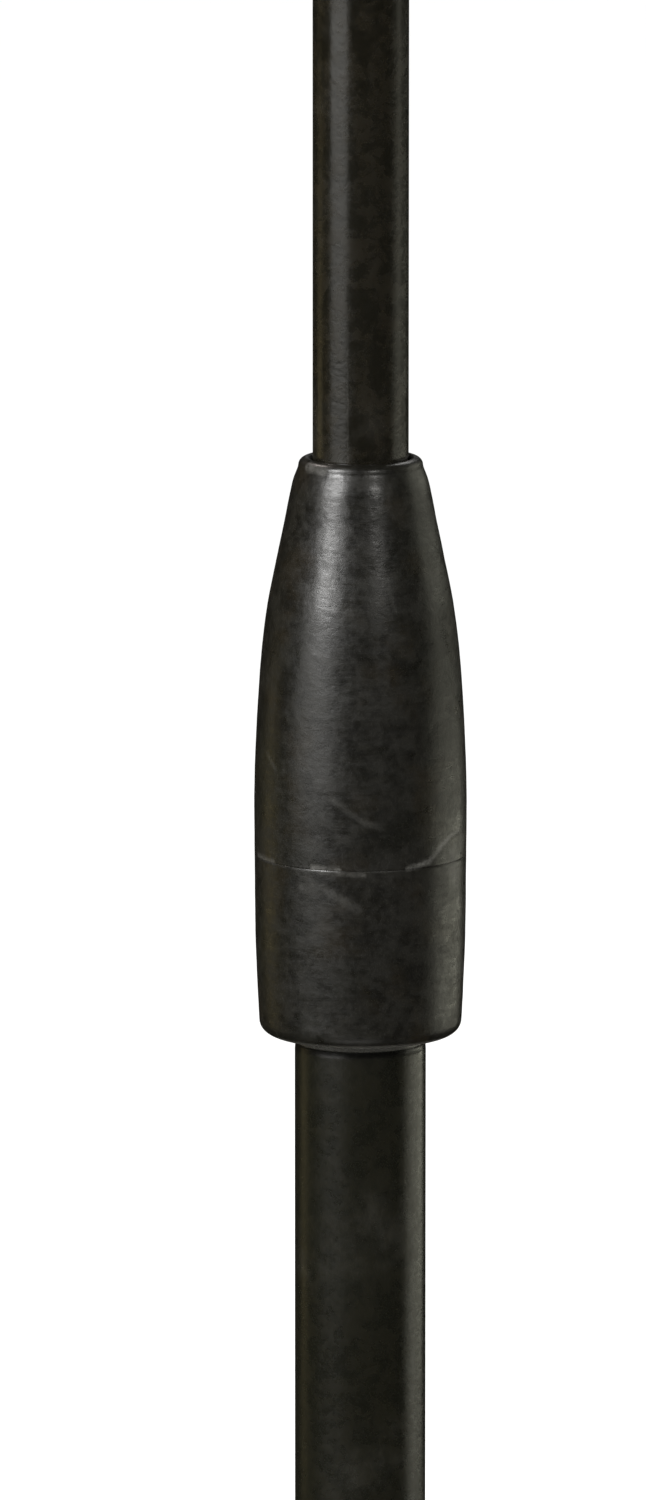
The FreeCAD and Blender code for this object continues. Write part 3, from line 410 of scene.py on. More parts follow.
def turned(name, profile, n=128, push=None):
    """A solid of revolution about Z from a closed (r, z) profile in mm. Points on the axis become poles.
    push(angle, r, z) gives a small radial offset in mm."""
    verts, rings = [], []
    for r, z in profile:
        if r < 1e-6:
            rings.append([len(verts)])
            verts.append((0.0, 0.0, z * MM))
            continue
        ring = []
        for k in range(n):
            a = 2 * PI * k / n
            rr = r + (push(a, r, z) if push else 0.0)
            ring.append(len(verts))
            verts.append((rr * MM * math.cos(a), rr * MM * math.sin(a), z * MM))
        rings.append(ring)
    faces = []
    m = len(rings)
    for i in range(m):
        a, b = rings[i], rings[(i + 1) % m]
        if len(a) == 1 and len(b) == 1:
            continue
        for k in range(n):
            k2 = (k + 1) % n
            if len(a) == 1:
                faces.append((a[0], b[k2], b[k]))
            elif len(b) == 1:
                faces.append((a[k], a[k2], b[0]))
            else:
                faces.append((a[k], a[k2], b[k2], b[k]))
    me = mesh_of(name, verts, faces)
    return outward(me)


def outward(me):
    bm = bmesh.new()
    bm.from_mesh(me)
    bmesh.ops.recalc_face_normals(bm, faces=bm.faces)
    bm.to_mesh(me)
    bm.free()
    me.update()
    return me


def applied(me, *modifiers):
    """The mesh with modifiers applied. Each is (kind, {settings})."""
    obj = bpy.data.objects.new("work", me)
    bpy.context.scene.collection.objects.link(obj)
    for kind, props in modifiers:
        m = obj.modifiers.new(kind.lower(), kind)
        for k, v in props.items():
            setattr(m, k, v)
    dg = bpy.context.evaluated_depsgraph_get()
    out = bpy.data.meshes.new_from_object(obj.evaluated_get(dg))
    bpy.data.objects.remove(obj)
    bpy.data.meshes.remove(me)
    return out


def joined(name, meshes):
    bm = bmesh.new()
    for me in meshes:
        bm.from_mesh(me)
        bpy.data.meshes.remove(me)
    out = bpy.data.meshes.new(name)
    bm.to_mesh(out)
    bm.free()
    return out


def arc(cx, cy, r, a0, a1, steps):
    return [(cx + r * math.cos(math.radians(a0 + (a1 - a0) * i / steps)),
             cy + r * math.sin(math.radians(a0 + (a1 - a0) * i / steps))) for i in range(steps + 1)]


def rounded_rect(hx, low, high, r_low, r_high, steps=14, inset=0.0):
    """Outline, counter-clockwise from the lower left, in mm. Corner radii shrink with the inset."""
    rl, rh = max(r_low - inset, 0.05), max(r_high - inset, 0.05)
    hx, low, high = hx - inset, low + inset, high - inset
    return (arc(-hx + rl, low + rl, rl, 180, 270, steps) + arc(hx - rl, low + rl, rl, 270, 360, steps)
            + arc(hx - rh, high - rh, rh, 0, 90, steps) + arc(-hx + rh, high - rh, rh, 90, 180, steps))


def stack(name, rings, cap_first=True, cap_last=True):
    """A skin over closed rings of equal length. Each ring is a list of 3-D points in mm."""
    verts, faces = [], []
    n = len(rings[0])
    for ring in rings:
        verts += [Vector(p) * MM for p in ring]
    for i in range(len(rings) - 1):
        for k in range(n):
            k2 = (k + 1) % n
            faces.append((i * n + k, i * n + k2, (i + 1) * n + k2, (i + 1) * n + k))
    if cap_first:
        faces.append(tuple(range(n))[::-1])
    if cap_last:
        faces.append(tuple((len(rings) - 1) * n + k for k in range(n)))
    return outward(mesh_of(name, verts, faces))


def plate(name, outline, half, place, edge=0.5, steps=4, drop=None):
    """A flat plate with rounded edges. outline(inset) gives 2-D points, place(u, v, w) a 3-D point in mm."""
    rings = []
    for i in range(steps + 1):
        t = PI / 2 * i / steps
        inset, w = edge * (1 - math.sin(t)), -half + edge * (1 - math.cos(t))
        rings.append([place(u, v, w) for u, v in outline(inset)])
    for i in range(steps, -1, -1):
        t = PI / 2 * i / steps
        inset, w = edge * (1 - math.sin(t)), half - edge * (1 - math.cos(t))
        rings.append([place(u, v, w) for u, v in outline(inset)])
    return stack(name, rings)


def remeshed(name, node, voxel, smooth=6, factor=0.5):
    """A cast or moulded piece: the CAD solid with its corners melted into small fillets."""
    src = NODES[node].data.copy()
    bm = bmesh.new()
    bm.from_mesh(src)
    bmesh.ops.remove_doubles(bm, verts=bm.verts, dist=2e-6)
    bm.to_mesh(src)
    bm.free()
    v = voxel * 1.0
    me = applied(src, ("REMESH", {"mode": "VOXEL", "voxel_size": v * MM, "use_smooth_shade": True}),
                 ("SMOOTH", {"factor": factor, "iterations": smooth}))
    me.name = name
    return me


# ----------------------------------------------------------------------------
# column
# ----------------------------------------------------------------------------
def tube_wave(seed, size):
    return lambda a, r, z: size * (noise.noise(Vector((math.cos(a) * 1.1, math.sin(a) * 1.1, z * 0.012 + seed))))


SEG = 192
STEP = 1.5
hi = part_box("upper_tube")[1].z / MM
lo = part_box("upper_tube")[0].z / MM
me = turned("upper_tube_skin", smooth_path(
    [(6.8, lo, 0.25), (8.0, lo, 0.35), (8.0, hi, 0.35), (6.8, hi, 0.25)], 6.0), SEG, tube_wave(3.0, 0.010))
add_piece("upper_tube_skin", me, M_TUBE, "mast", ["upper_tube"], sharp=40)

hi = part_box("lower_tube")[1].z / MM
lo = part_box("lower_tube")[0].z / MM
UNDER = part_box("clutch_housing")[0].z / MM
me = turned("lower_tube_skin", smooth_path([
    (9.8, lo, 0.25), (11.0, lo, 0.35), (11.0, UNDER - 3.5), (11.0, UNDER - 3.0), (11.0, UNDER - 2.7), (10.99, UNDER - 2.5),
    (10.96, UNDER - 2.3), (10.95, UNDER - 2.0), (10.95, UNDER - 1.75), (10.97, UNDER - 1.5), (11.0, UNDER - 1.35),
    (11.0, UNDER - 1.1), (11.0, UNDER - 0.7), (11.0, UNDER - 0.3), (11.0, UNDER), (11.0, UNDER + 2.0), (11.0, hi, 0.35),
    (9.8, hi, 0.25)], 6.0), SEG, tube_wave(8.0, 0.010))
# painted highlight and painted shadow just under the clutch housing: a lighter band stands in for reflected light, a
# dark band below it for the housing's contact shadow
att = me.attributes.new("line", "FLOAT", "POINT")
vals = []
for v in me.vertices:
    z = v.co.z / MM - UNDER
    # painted shadow: the dark band under the housing
    dark = max(0.0, min(1.0, (z + 2.7) / 0.5)) if z < -1.40 else 0.0
    # painted highlight: the lighter band just under the housing
    painted_highlight_band = 0.78 * max(0.0, min(1.0, (z + 1.50) / 0.2)) if -1.50 < z < 0.4 else 0.0
    vals.append((painted_highlight_band - dark) if v.co.xy.length > 0.0105 else 0.0)
att.data.foreach_set("value", vals)
add_piece("lower_tube_skin", me, M_TUBE_LOW, "base", ["lower_tube"], sharp=40)

# ----------------------------------------------------------------------------
# twist clutch
# ----------------------------------------------------------------------------
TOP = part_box("clutch_grip")[1].z / MM
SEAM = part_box("clutch_grip")[0].z / MM
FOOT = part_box("clutch_housing")[0].z / MM


def cast_skin(seed, size, coarse=0.16, fine=0.75):
    """Very shallow hollows and swells, as in a moulded or cast skin."""
    def push(a, r, z):
        x, y = r * math.cos(a), r * math.sin(a)
        return size * (noise.noise(Vector((x * coarse, y * coarse, z * coarse + seed)))
                       + 0.45 * noise.noise(Vector((x * fine, y * fine, z * fine + seed))))
    return push


# each scuff or painted glint: (angle from the player's side in degrees, height in mm) points, width in mm, weight
SCUFFS_AND_GLINTS = [
    ([(-15.7, 604.8), (-6.3, 602.8), (3.5, 600.8), (10.1, 600.2)], 0.8, 0.17),
    ([(-12.0, 597.8), (-5.0, 597.9)], 1.0, 0.13),
    ([(-33.0, 589.6), (-19.7, 589.7), (-9.5, 587.9), (-1.4, 586.2)], 1.1, 0.18),
    ([(26.2, 592.95), (39.8, 593.7), (48.9, 595.9), (58.0, 597.4), (67.6, 598.0)], 0.62, 0.85),
    ([(60.0, 594.2), (64.0, 590.2)], 2.8, 0.50),
    ([(56.0, 592.3), (72.0, 595.6)], 2.0, 0.42),
    # painted glints: lighter dashes along the seam, standing in for its edges catching the light
    ([(-27.0, 593.2), (-20.0, 593.1), (-12.0, 593.05)], 0.55, 0.85),
    ([(-22.0, 592.35), (2.0, 592.2)], 0.45, 0.35),
    ([(-75.0, 593.2), (-55.0, 593.1)], 0.5, 0.45),
    ([(-62.0, 611.0), (-54.0, 609.0)], 0.6, 0.18),
    ([(112.0, 604.0), (131.0, 599.0)], 0.6, 0.45),
    ([(168.0, 612.0), (150.0, 606.5)], 0.5, 0.40),
    ([(-140.0, 589.0), (-118.0, 592.2)], 0.6, 0.45),
    ([(18.0, 640.0), (22.0, 636.0)], 0.5, 0.12),
    # painted glint: a lighter patch on the lip's left, standing in for a highlight there
    ([(-60.0, 658.9), (-47.0, 658.8), (-36.0, 658.6)], 0.95, 0.80),
    ([(-58.0, 658.2), (-46.0, 658.3)], 0.45, 0.35),
    ([(104.0, 658.9), (126.0, 659.0)], 0.7, 0.50),
    ([(-160.0, 658.9), (-149.0, 658.8)], 0.6, 0.45),
]


def scuff_or_glint_at(x, y, z):
    """How scuffed a point of the clutch is, 0 to 1, from its nearness to each mark; some marks are painted glints, not
    scuffs.
    """
    r = math.hypot(x, y)
    a = math.degrees(math.atan2(x, -y))
    best = 0.0
    for pts, width, weight in SCUFFS_AND_GLINTS:
        for (a0, z0), (a1, z1) in zip(pts, pts[1:]):
            if not (min(z0, z1) - 3 * width < z < max(z0, z1) + 3 * width):
                continue
            k = math.radians(1) * r
            px, pz = a * k, z
            ax, az, bx, bz = a0 * k, z0, a1 * k, z1
            dx, dz = bx - ax, bz - az
            t = max(0.0, min(1.0, ((px - ax) * dx + (pz - az) * dz) / (dx * dx + dz * dz)))
            d = math.hypot(px - ax - t * dx, pz - az - t * dz)
            d += 0.22 * width * noise.noise(Vector((px * 0.9, pz * 0.9, 7.0)))
            s = weight * max(0.0, 1 - (d / width) ** 2) ** 1.5 * (0.75 + 0.5 * noise.noise(Vector((px * 0.5, pz * 0.5, 2.0))))
            best = max(best, min(s, 1.0))
    return best


def add_scuffs_and_glints(me, depth):
    """Writes the scuff and painted glint attribute, and cuts each mark a few hundredths of a millimetre into the skin.
    """
    att = me.attributes.new("scuff_and_glint", "FLOAT", "POINT")
    vals = []
    for v in me.vertices:
        x, y, z = v.co.x / MM, v.co.y / MM, v.co.z / MM
        r = math.hypot(x, y)
        s = scuff_or_glint_at(x, y, z) if r > 14 or (z > 657.4 and r > 9.3) else 0.0
        vals.append(s)
        if s > 0:
            f = 1 - depth * s / r
            v.co.x *= f
            v.co.y *= f
    att.data.foreach_set("value", vals)


DENSE = 0.42


def fuller(points):
    """The skin is a tenth of a millimetre proud below the taper."""
    return [(r + 0.11 * max(0.0, min(1.0, (645.0 - z) / 15.0)), z) for r, z in points]


outer = curve_through(fuller([
    (10.49, 658.08), (10.60, 657.76), (10.83, 657.2), (11.27, 656.0), (11.96, 652.9), (12.62, 649.4), (13.36, 645.9), (14.03, 642.5),
    (14.72, 639.1), (15.36, 635.7), (15.84, 632.3), (16.24, 628.9), (16.56, 625.5), (16.82, 622.1), (17.04, 618.7),
    (17.23, 615.3), (17.40, 611.9), (17.54, 608.5), (17.62, 605.2), (17.68, 601.8), (17.66, 598.4),
    (17.62, SEAM + 0.10)]), DENSE)
lip = ([(10.445, 658.24), (10.415, 658.42)] + arc(9.02, 658.44, 1.39, 15, 90, 9)
       + arc(9.02, 659.16, 0.67, 90, 180, 6)[1:])
rim = [(17.725, SEAM - 0.06), (17.715, SEAM - 0.105), (17.68, SEAM - 0.13)]
inner = [(13.3, SEAM - 0.13), (13.1, SEAM + 0.2), (13.1, 625.0), (11.9, 625.0), (9.75, 650.5), (9.75, 653.0), (8.35, 653.0)]
profile = [p for p in lip[::-1]] + outer + rim + inner
me = turned("clutch_grip_skin", profile, 400, cast_skin(1.7, 0.030))
add_scuffs_and_glints(me, 0.05)
grip = add_piece("clutch_grip_skin", me, M_CLUTCH, "grip", ["clutch_grip"], sharp=55)

outer = curve_through(fuller([
    (17.62, 592.75), (17.61, 591.0), (17.58, 588.2), (17.56, 584.8), (17.52, 581.4), (17.46, 578.0), (17.33, 574.6),
    (17.19, 571.2), (17.03, 567.8), (16.90, 565.2)]), DENSE)
bottom = [(16.97 - 2.47 * (1 - math.cos(t)), FOOT + 2.36 * (1 - math.sin(t)))
          for t in [PI / 2 * i / 9 for i in range(10)]]
profile = [(17.66, 592.8), (17.71, 592.785)] + outer + bottom + [
    (12.6, FOOT), (12.1, FOOT + 0.35), (11.02, FOOT + 0.35), (11.02, 618.0), (12.2, 618.0), (12.95, 617.2),
    (12.95, 592.8)]
me = turned("clutch_housing_skin", profile, 400, cast_skin(5.1, 0.028))
add_scuffs_and_glints(me, 0.05)
# painted highlight: the line attribute marks the housing's bottom lip for a lighter line standing in for reflected
# floor light
att = me.attributes.new("line", "FLOAT", "POINT")
att.data.foreach_set("value", [max(0.0, min(1.0, (0.85 - (v.co.z / MM - FOOT)) / 0.5)) if v.co.xy.length > 0.0138 else 0.0
                               for v in me.vertices])
# the set screw's hole at the back, sunk into the skin
for v in me.vertices:
    x, z = v.co.x / MM, v.co.z / MM
    if v.co.y > 0.0125:
        d = math.hypot(x, z - 574.0)
        if d < 3.0:
            s = max(0.0, min(1.0, (3.0 - d) / 0.7))
            v.co.y += (0.0158 - v.co.y) * s * s * (3 - 2 * s)
add_piece("clutch_housing_skin", me, M_CLUTCH, "base", ["clutch_housing"], sharp=55)

me = turned("set_screw", [(0.0, 15.0), (0.95, 15.0), (1.05, 16.2), (1.3, 16.42), (1.75, 16.42), (1.95, 16.2),
                          (1.95, 13.5), (0.0, 13.5)], 32)
me.transform(Matrix.Translation((0, 0, 0.574)) @ Matrix.Rotation(-PI / 2, 4, "X"))
add_piece("set_screw", me, M_STEEL, "base", ["housing_set_screw"], sharp=35)

# ----------------------------------------------------------------------------
# legs, braces, feet
# ----------------------------------------------------------------------------
def capsule(half, top, bottom, inset=0.0, steps=20):
    """Outline round both ends about (0, top) and (0, bottom)."""
    r = half - inset
    return arc(0, top, r, 0, 180, steps) + arc(0, bottom, r, 180, 360, steps)


def leg_outline(inset, long, half=9.0, steps=24):
    r = half - inset
    side = 26
    left = [(-r, -long * i / side) for i in range(1, side + 1)]
    return arc(0, 0, r, 0, 180, steps) + left + [(r, z) for _, z in left[::-1]]


def flat_oval(half_w, half_t, corner, z, steps=6):
    c = corner
    pts = []
    for sx, sy, a in ((1, 1, 0), (-1, 1, 90), (-1, -1, 180), (1, -1, 270)):
        pts += [(sx * (half_w - c) + c * math.cos(math.radians(a + 90 * i / steps)),
                 sy * (half_t - c) + c * math.sin(math.radians(a + 90 * i / steps)), z) for i in range(steps + 1)]
    return pts


LEG_LONG = 250.0
for i in range(3):
    k = i + 1
    me = plate(f"leg_tube_{k}_skin", lambda s: leg_outline(s, LEG_LONG), 4.5, lambda u, v, w: (u, w, v), 3.4, 8)
    add_piece(f"leg_tube_{k}_skin", me, M_LEG, f"leg_{k}", [f"leg_tube_{k}"], leg_frame(i), sharp=30)

    me = remeshed(f"leg_foot_{k}_skin", f"leg_foot_{k}", 0.42, 5)
    add_piece(f"leg_foot_{k}_skin", me, M_RUBBER, f"leg_{k}", [f"leg_foot_{k}"])

    parts = []
    for side in (-1, 1):
        parts.append(plate("cheek", lambda s: capsule(7.0, LINK / MM, 0.0, s), 1.0,
                           lambda u, v, w, side=side: (u, side * 5.9 + w, v), 0.55, 4))
    web_lo, web_hi = 17.0, LINK / MM - 30.0
    rows = []
    for z, cut in ((web_lo, 0.5), (web_lo + 0.25, 0.15), (web_lo + 0.6, 0.0), (web_hi - 0.6, 0.0),
                   (web_hi - 0.25, 0.15), (web_hi, 0.5)):
        x0, x1, y = -7.0 + cut, -5.0 - cut, 6.9 - 1.2
        rows.append([(x0, -y, z), (x0, y, z), (x1, y, z), (x1, -y, z)])
    parts.append(stack("web", rows))
    me = joined(f"strut_{k}_skin", parts)
    add_piece(f"strut_{k}_skin", me, M_LEG, f"brace_{k}", [f"strut_{k}"], brace_frame(i), sharp=30)


def rivet_mesh(name, r, half, head, high, flat=False):
    """A rivet along Z with domed heads."""
    dome = [(head * math.cos(t), half + 0.25 + (high - 0.25) * math.sin(t))
            for t in [PI / 2 * j / 7 for j in range(8)]]
    dome[-1] = (0.0, half + high)
    up = [(r, half), (head - 0.15, half), (head, half + 0.15)] + dome
    if flat:
        prof = [(0.0, -half - 0.12), (r - 0.35, -half - 0.12), (r, -half)] + up
    else:
        prof = [(x, -z) for x, z in up[::-1]] + up
    return turned(name, prof, 40)


REACH = 7.1
Y_UP = Matrix.Rotation(-PI / 2, 4, "X")
pins = []
for i in range(3):
    me = rivet_mesh("p", 3.0, REACH, 5.0, 1.7)
    me.transform(SPIN[i] @ Matrix.Translation((PIVOT_RHO, 0, HUB_Z)) @ Y_UP)
    pins.append(me)
add_piece("hub_pins_domed", joined("hub_pins_domed", pins), M_STEEL, "base", ["hub_pins"], sharp=50)
pins = []
for i in range(3):
    me = rivet_mesh("p", 3.0, 8.9, 5.0, 1.7)
    me.transform(SPIN[i] @ Matrix.Translation((PIVOT_RHO, 0, COLLAR_Z)) @ Y_UP)
    pins.append(me)
add_piece("collar_pins_domed", joined("collar_pins_domed", pins), M_STEEL, "collar", ["collar_pins"], sharp=50)
for i in range(3):
    me = rivet_mesh(f"leg_rivet_{i + 1}_domed", 3.0, REACH, 5.0, 1.7)
    me.transform(SPIN[i] @ Matrix.Translation(KNEE) @ Y_UP)
    add_piece(f"leg_rivet_{i + 1}_domed", me, M_STEEL, f"leg_{i + 1}", [f"leg_rivet_{i + 1}"], sharp=50)

# ----------------------------------------------------------------------------
# castings and knobs
# ----------------------------------------------------------------------------
add_piece("base_hub_skin", remeshed("base_hub_skin", "base_hub", 0.40, 5), M_CAST, "base", ["base_hub"])
add_piece("leg_collar_skin", remeshed("leg_collar_skin", "leg_collar", 0.40, 5), M_CAST, "collar", ["leg_collar"])
add_piece("tilt_head_skin", remeshed("tilt_head_skin", "tilt_head", 0.34, 6), M_CAST, "mast", ["tilt_head"])
add_piece("lock_knob_skin", remeshed("lock_knob_skin", "lock_knob", 0.30, 7), M_KNOB, "lock_hand", ["lock_knob"])
add_piece("tilt_knob_skin", remeshed("tilt_knob_skin", "tilt_knob", 0.32, 7), M_KNOB, "tilt_hand", ["tilt_knob"])

me = rivet_mesh("head_rivet_domed", 2.0, 12.0, 3.6, 1.2)
me.transform(Matrix.Translation((0, 0, 0.955)) @ Y_UP)
add_piece("head_rivet_domed", me, M_STEEL, "mast", ["head_rivet"], sharp=50)

# ----------------------------------------------------------------------------
# desk
# ----------------------------------------------------------------------------
FRONT, DEEP, SHEET = 42.0, 8.0, 1.2
HALF, DROP, RISE, CORNER, EDGE = 254.0, 130.0, 212.0, 32.0, 2.0


def desk_ring(inset, y):
    return [(x, y, z) for x, z in rounded_rect(HALF, -DROP, RISE, 4.0, CORNER, 16, inset)]


rings = [desk_ring(60.0, -FRONT), desk_ring(20.0, -FRONT), desk_ring(EDGE + 0.4, -FRONT)]
for j in range(1, 9):
    t = PI / 2 * j / 8
    rings.append(desk_ring(EDGE * (1 - math.sin(t)), -FRONT + EDGE * (1 - math.cos(t))))
rings.append(desk_ring(0.0, -FRONT + 5.0))
back = -(FRONT - DEEP)
for j in range(0, 7):
    t = PI * j / 6
    rings.append(desk_ring(SHEET / 2 * (1 - math.cos(t)), back - SHEET / 2 + SHEET / 2 * math.sin(t)))
rings.append(desk_ring(SHEET, -FRONT + SHEET + 1.6))
for j in range(1, 6):
    t = PI / 2 * j / 5
    rings.append(desk_ring(SHEET + 1.2 * (1 - math.cos(t)), -FRONT + SHEET + 1.2 * (1 - math.sin(t))))
rings += [desk_ring(20.0, -FRONT + SHEET), desk_ring(60.0, -FRONT + SHEET)]
me = stack("desk_panel_skin", rings)
add_piece("desk_panel_skin", me, M_DESK, "desk", ["desk_panel"], DESK, sharp=30)

# the ledge: one blank of sheet bent up at its front, mapped from its flat shape
LEDGE_DEEP, LIP, LEDGE_CORNER, LIP_HALF, LIP_CORNER, BEND = 56.0, 14.0, 16.0, 236.0, 9.0, 1.6
far = FRONT + LEDGE_DEEP
flat_long = far - (FRONT - DEEP) - BEND
lip_long = LIP + SHEET - BEND


def ledge_half(s):
    """Half-width of the blank at a distance s from its back edge."""
    start = flat_long + BEND - LEDGE_CORNER
    if s <= start:
        return HALF
    arc_len = BEND * PI / 2
    if s < flat_long:
        d = s - start
        return HALF - LEDGE_CORNER + math.sqrt(max(LEDGE_CORNER ** 2 - d * d, 0.0))
    if s < flat_long + arc_len:
        d = LEDGE_CORNER - BEND
        a = HALF - LEDGE_CORNER + math.sqrt(max(LEDGE_CORNER ** 2 - d * d, 0.0))
        t = (s - flat_long) / arc_len
        return a + (LIP_HALF - a) * (1 - (1 - t) ** 2)
    up = s - flat_long - arc_len
    d = up - (lip_long - LIP_CORNER)
    if d <= 0:
        return LIP_HALF
    return LIP_HALF - LIP_CORNER + math.sqrt(max(LIP_CORNER ** 2 - min(d, LIP_CORNER) ** 2, 0.0))


def ledge_point(s):
    """(y, z) of the sheet's outer face and its outward normal at s."""
    arc_len = BEND * PI / 2
    y0, z0 = -(FRONT - DEEP), -DROP - SHEET
    if s <= flat_long:
        return (y0 - s, z0), (0.0, -1.0)
    if s <= flat_long + arc_len:
        t = (s - flat_long) / BEND
        return (y0 - flat_long - BEND * math.sin(t), z0 + BEND * (1 - math.cos(t))), (-math.sin(t), -math.cos(t))
    return (-far, z0 + BEND + (s - flat_long - arc_len)), (-1.0, 0.0)


total = flat_long + BEND * PI / 2 + lip_long
stops = [0.0, 0.25, 0.6, 2.0] + [4.0 * j for j in range(1, 9)]
a0 = flat_long + BEND - LEDGE_CORNER
stops += [a0 + LEDGE_CORNER * math.sin(math.radians(4.5 * j)) for j in range(0, 20)
          if a0 + LEDGE_CORNER * math.sin(math.radians(4.5 * j)) < flat_long - 0.05]
stops += [flat_long + BEND * PI / 2 * j / 6 for j in range(7)]
b0 = flat_long + BEND * PI / 2
stops += [b0 + 1.5, b0 + 3.0]
stops += [total - LIP_CORNER + LIP_CORNER * math.sin(math.radians(5 * j)) for j in range(0, 19)]
stops = sorted(set(round(s, 4) for s in stops))
clean = [stops[0]]
for s in stops[1:]:
    if s - clean[-1] > 0.03:
        clean.append(s)
clean[-1] = total
cols = [-1.0, -0.9985, -0.995, -0.985, -0.96] + [-0.9 + 0.1 * j for j in range(19)] + [0.96, 0.985, 0.995, 0.9985, 1.0]
verts, faces = [], []
for s in clean:
    w = ledge_half(s)
    (y, z), (ny, nz) = ledge_point(s)
    for u in cols:
        verts.append(Vector((u * w, y - ny * SHEET, z - nz * SHEET)) * MM)
for a in range(len(clean) - 1):
    for c in range(len(cols) - 1):
        p = a * len(cols) + c
        faces.append((p, p + 1, p + 1 + len(cols), p + len(cols)))
me = mesh_of("ledge", verts, faces)
bm = bmesh.new()
bm.from_mesh(me)
bmesh.ops.recalc_face_normals(bm, faces=bm.faces)
up = sum((f.normal.z for f in bm.faces), 0.0)
if up < 0:
    bmesh.ops.reverse_faces(bm, faces=bm.faces)
bm.to_mesh(me)
bm.free()
me = applied(me, ("SOLIDIFY", {"thickness": SHEET * MM, "offset": -1.0, "use_even_offset": True}),
             ("BEVEL", {"width": 0.35 * MM, "segments": 3, "limit_method": "ANGLE", "angle_limit": math.radians(50)}))
add_piece("music_ledge_skin", me, M_DESK, "desk", ["music_ledge"], DESK, sharp=35)

# bracket: a plate riveted to the back of the desk and two cheeks folded from it
PLATE_FACE = -(FRONT - SHEET)
parts = [plate("pad", lambda s: rounded_rect(55.0, -34.0, 34.0, 6.0, 6.0, 10, s), 1.0,
               lambda u, v, w: (u, PLATE_FACE + 1.0 + w, v), 0.55, 4)]


def cheek(inset):
    root, r = -PLATE_FACE - 1.8, 12.0 - inset
    pts = []
    # tangent lines from the root's ends to the round nose
    for sgn in (-1, 1):
        pass
    y0, z0 = -root + 0.0, 26.0 - inset
    dist = math.hypot(y0, z0)
    base = math.atan2(z0, y0)
    off = math.acos(r / dist)
    a1 = base - off
    nose = [(r * math.cos(-a1 + 2 * a1 * j / 24), r * math.sin(-a1 + 2 * a1 * j / 24)) for j in range(25)]
    return [(y0, -z0)] + nose + [(y0, z0)]


for side in (-1, 1):
    x = side * (8.05 + 1.25)
    parts.append(plate("cheek", cheek, 1.25, lambda u, v, w, x=x: (x + w, u, v), 0.5, 3))
    # a soft bend radius at the root of each cheek
    bead = []
    for z, g in ((-26.5, 0.2), (-26.0, 1.0), (-24.0, 1.5), (24.0, 1.5), (26.0, 1.0), (26.5, 0.2)):
        bead.append([(x + side * (1.2 - 0.0) + side * g * (1 - math.cos(t)), PLATE_FACE + 1.95 + g * (1 - math.sin(t)), z)
                     for t in [PI / 2 * j / 5 for j in range(6)]]
                    + [(x, PLATE_FACE + 1.6, z), ])
    parts.append(stack("bead", bead))
me = joined("desk_bracket_skin", parts)
add_piece("desk_bracket_skin", me, M_DESK, "desk", ["desk_bracket"], DESK, sharp=35)

heads = []
for x in (-1, 1):
    for z in (-1, 1):
        me = rivet_mesh("r", 2.4, 1.6, 4.6, 1.4, flat=True)
        me.transform(DESK @ Matrix.Translation((x * 0.043, (-(FRONT - 1.6)) * MM, z * 0.023)) @ Y_UP)
        heads.append(me)
add_piece("bracket_rivets_domed", joined("bracket_rivets_domed", heads), M_STEEL, "desk", ["bracket_rivets"], sharp=50)

# bolt through the head
X_UP = Matrix.Rotation(PI / 2, 4, "Y")
outer_face = 8.05 + 2.5
prof = [(0.0, -outer_face - 5.0), (3.6, -outer_face - 4.85)] + \
       [(8.0 - 4.4 * (1 - math.sin(t)), -outer_face - 0.9 - 3.95 * math.cos(t)) for t in [PI / 2 * j / 8 for j in range(9)]] + \
       [(8.0, -outer_face - 0.3), (7.8, -outer_face), (4.0, -outer_face), (4.0, 25.2), (3.4, 26.0), (0.0, 26.0)]
me = turned("tilt_bolt_skin", prof, 64)
add_piece("tilt_bolt_skin", me, M_STEEL, "desk", ["tilt_bolt"], Matrix.Translation(PIVOT) @ X_UP, sharp=40)
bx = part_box("pressure_washer")
x0, x1 = bx[0].x / MM, bx[1].x / MM
me = turned("pressure_washer_skin", smooth_path(
    [(4.3, x0, 0.2), (10.0, x0, 0.5), (10.0, x1, 0.3), (4.3, x1, 0.2)], 2.0), 72)
add_piece("pressure_washer_skin", me, M_STEEL, "tilt_spacer", ["pressure_washer"], Matrix.Translation(PIVOT) @ X_UP,
          sharp=50)

# ----------------------------------------------------------------------------
# carried-over CAD nodes
# ----------------------------------------------------------------------------
for names, mat in (
    (("guide_bush", "clutch_collet", "thrust_washer", "collar_liner", "lock_shoe", "friction_washers"), M_NYLON),
    (("hub_screw", "lock_screw", "tube_insert"), M_STEEL),
):
    for n in names:
        o = NODES[n]
        o.data.materials.clear()
        o.data.materials.append(mat)
for n, o in NODES.items():
    if not o.hide_render and not o.data.materials:
        raise RuntimeError(n)

# ----------------------------------------------------------------------------
# floor, light, camera
# ----------------------------------------------------------------------------
def floor():
    s = 80.0
    me = mesh_of("floor", [(-s, -s, 0), (s, -s, 0), (s, s, 0), (-s, s, 0)], [(0, 1, 2, 3)])
    g = Graph("floor_pale")
    g.finish((0.90, 0.90, 0.90), 0.9, specular=0.0)
    me.materials.append(g.mat)
    o = bpy.data.objects.new("floor", me)
    bpy.context.scene.collection.objects.link(o)
    o.location.z = -0.0004
    o.visible_glossy = False


floor()


def aim(obj, at):
    obj.rotation_euler = (Vector(at) - obj.location).to_track_quat("-Z", "Y").to_euler()


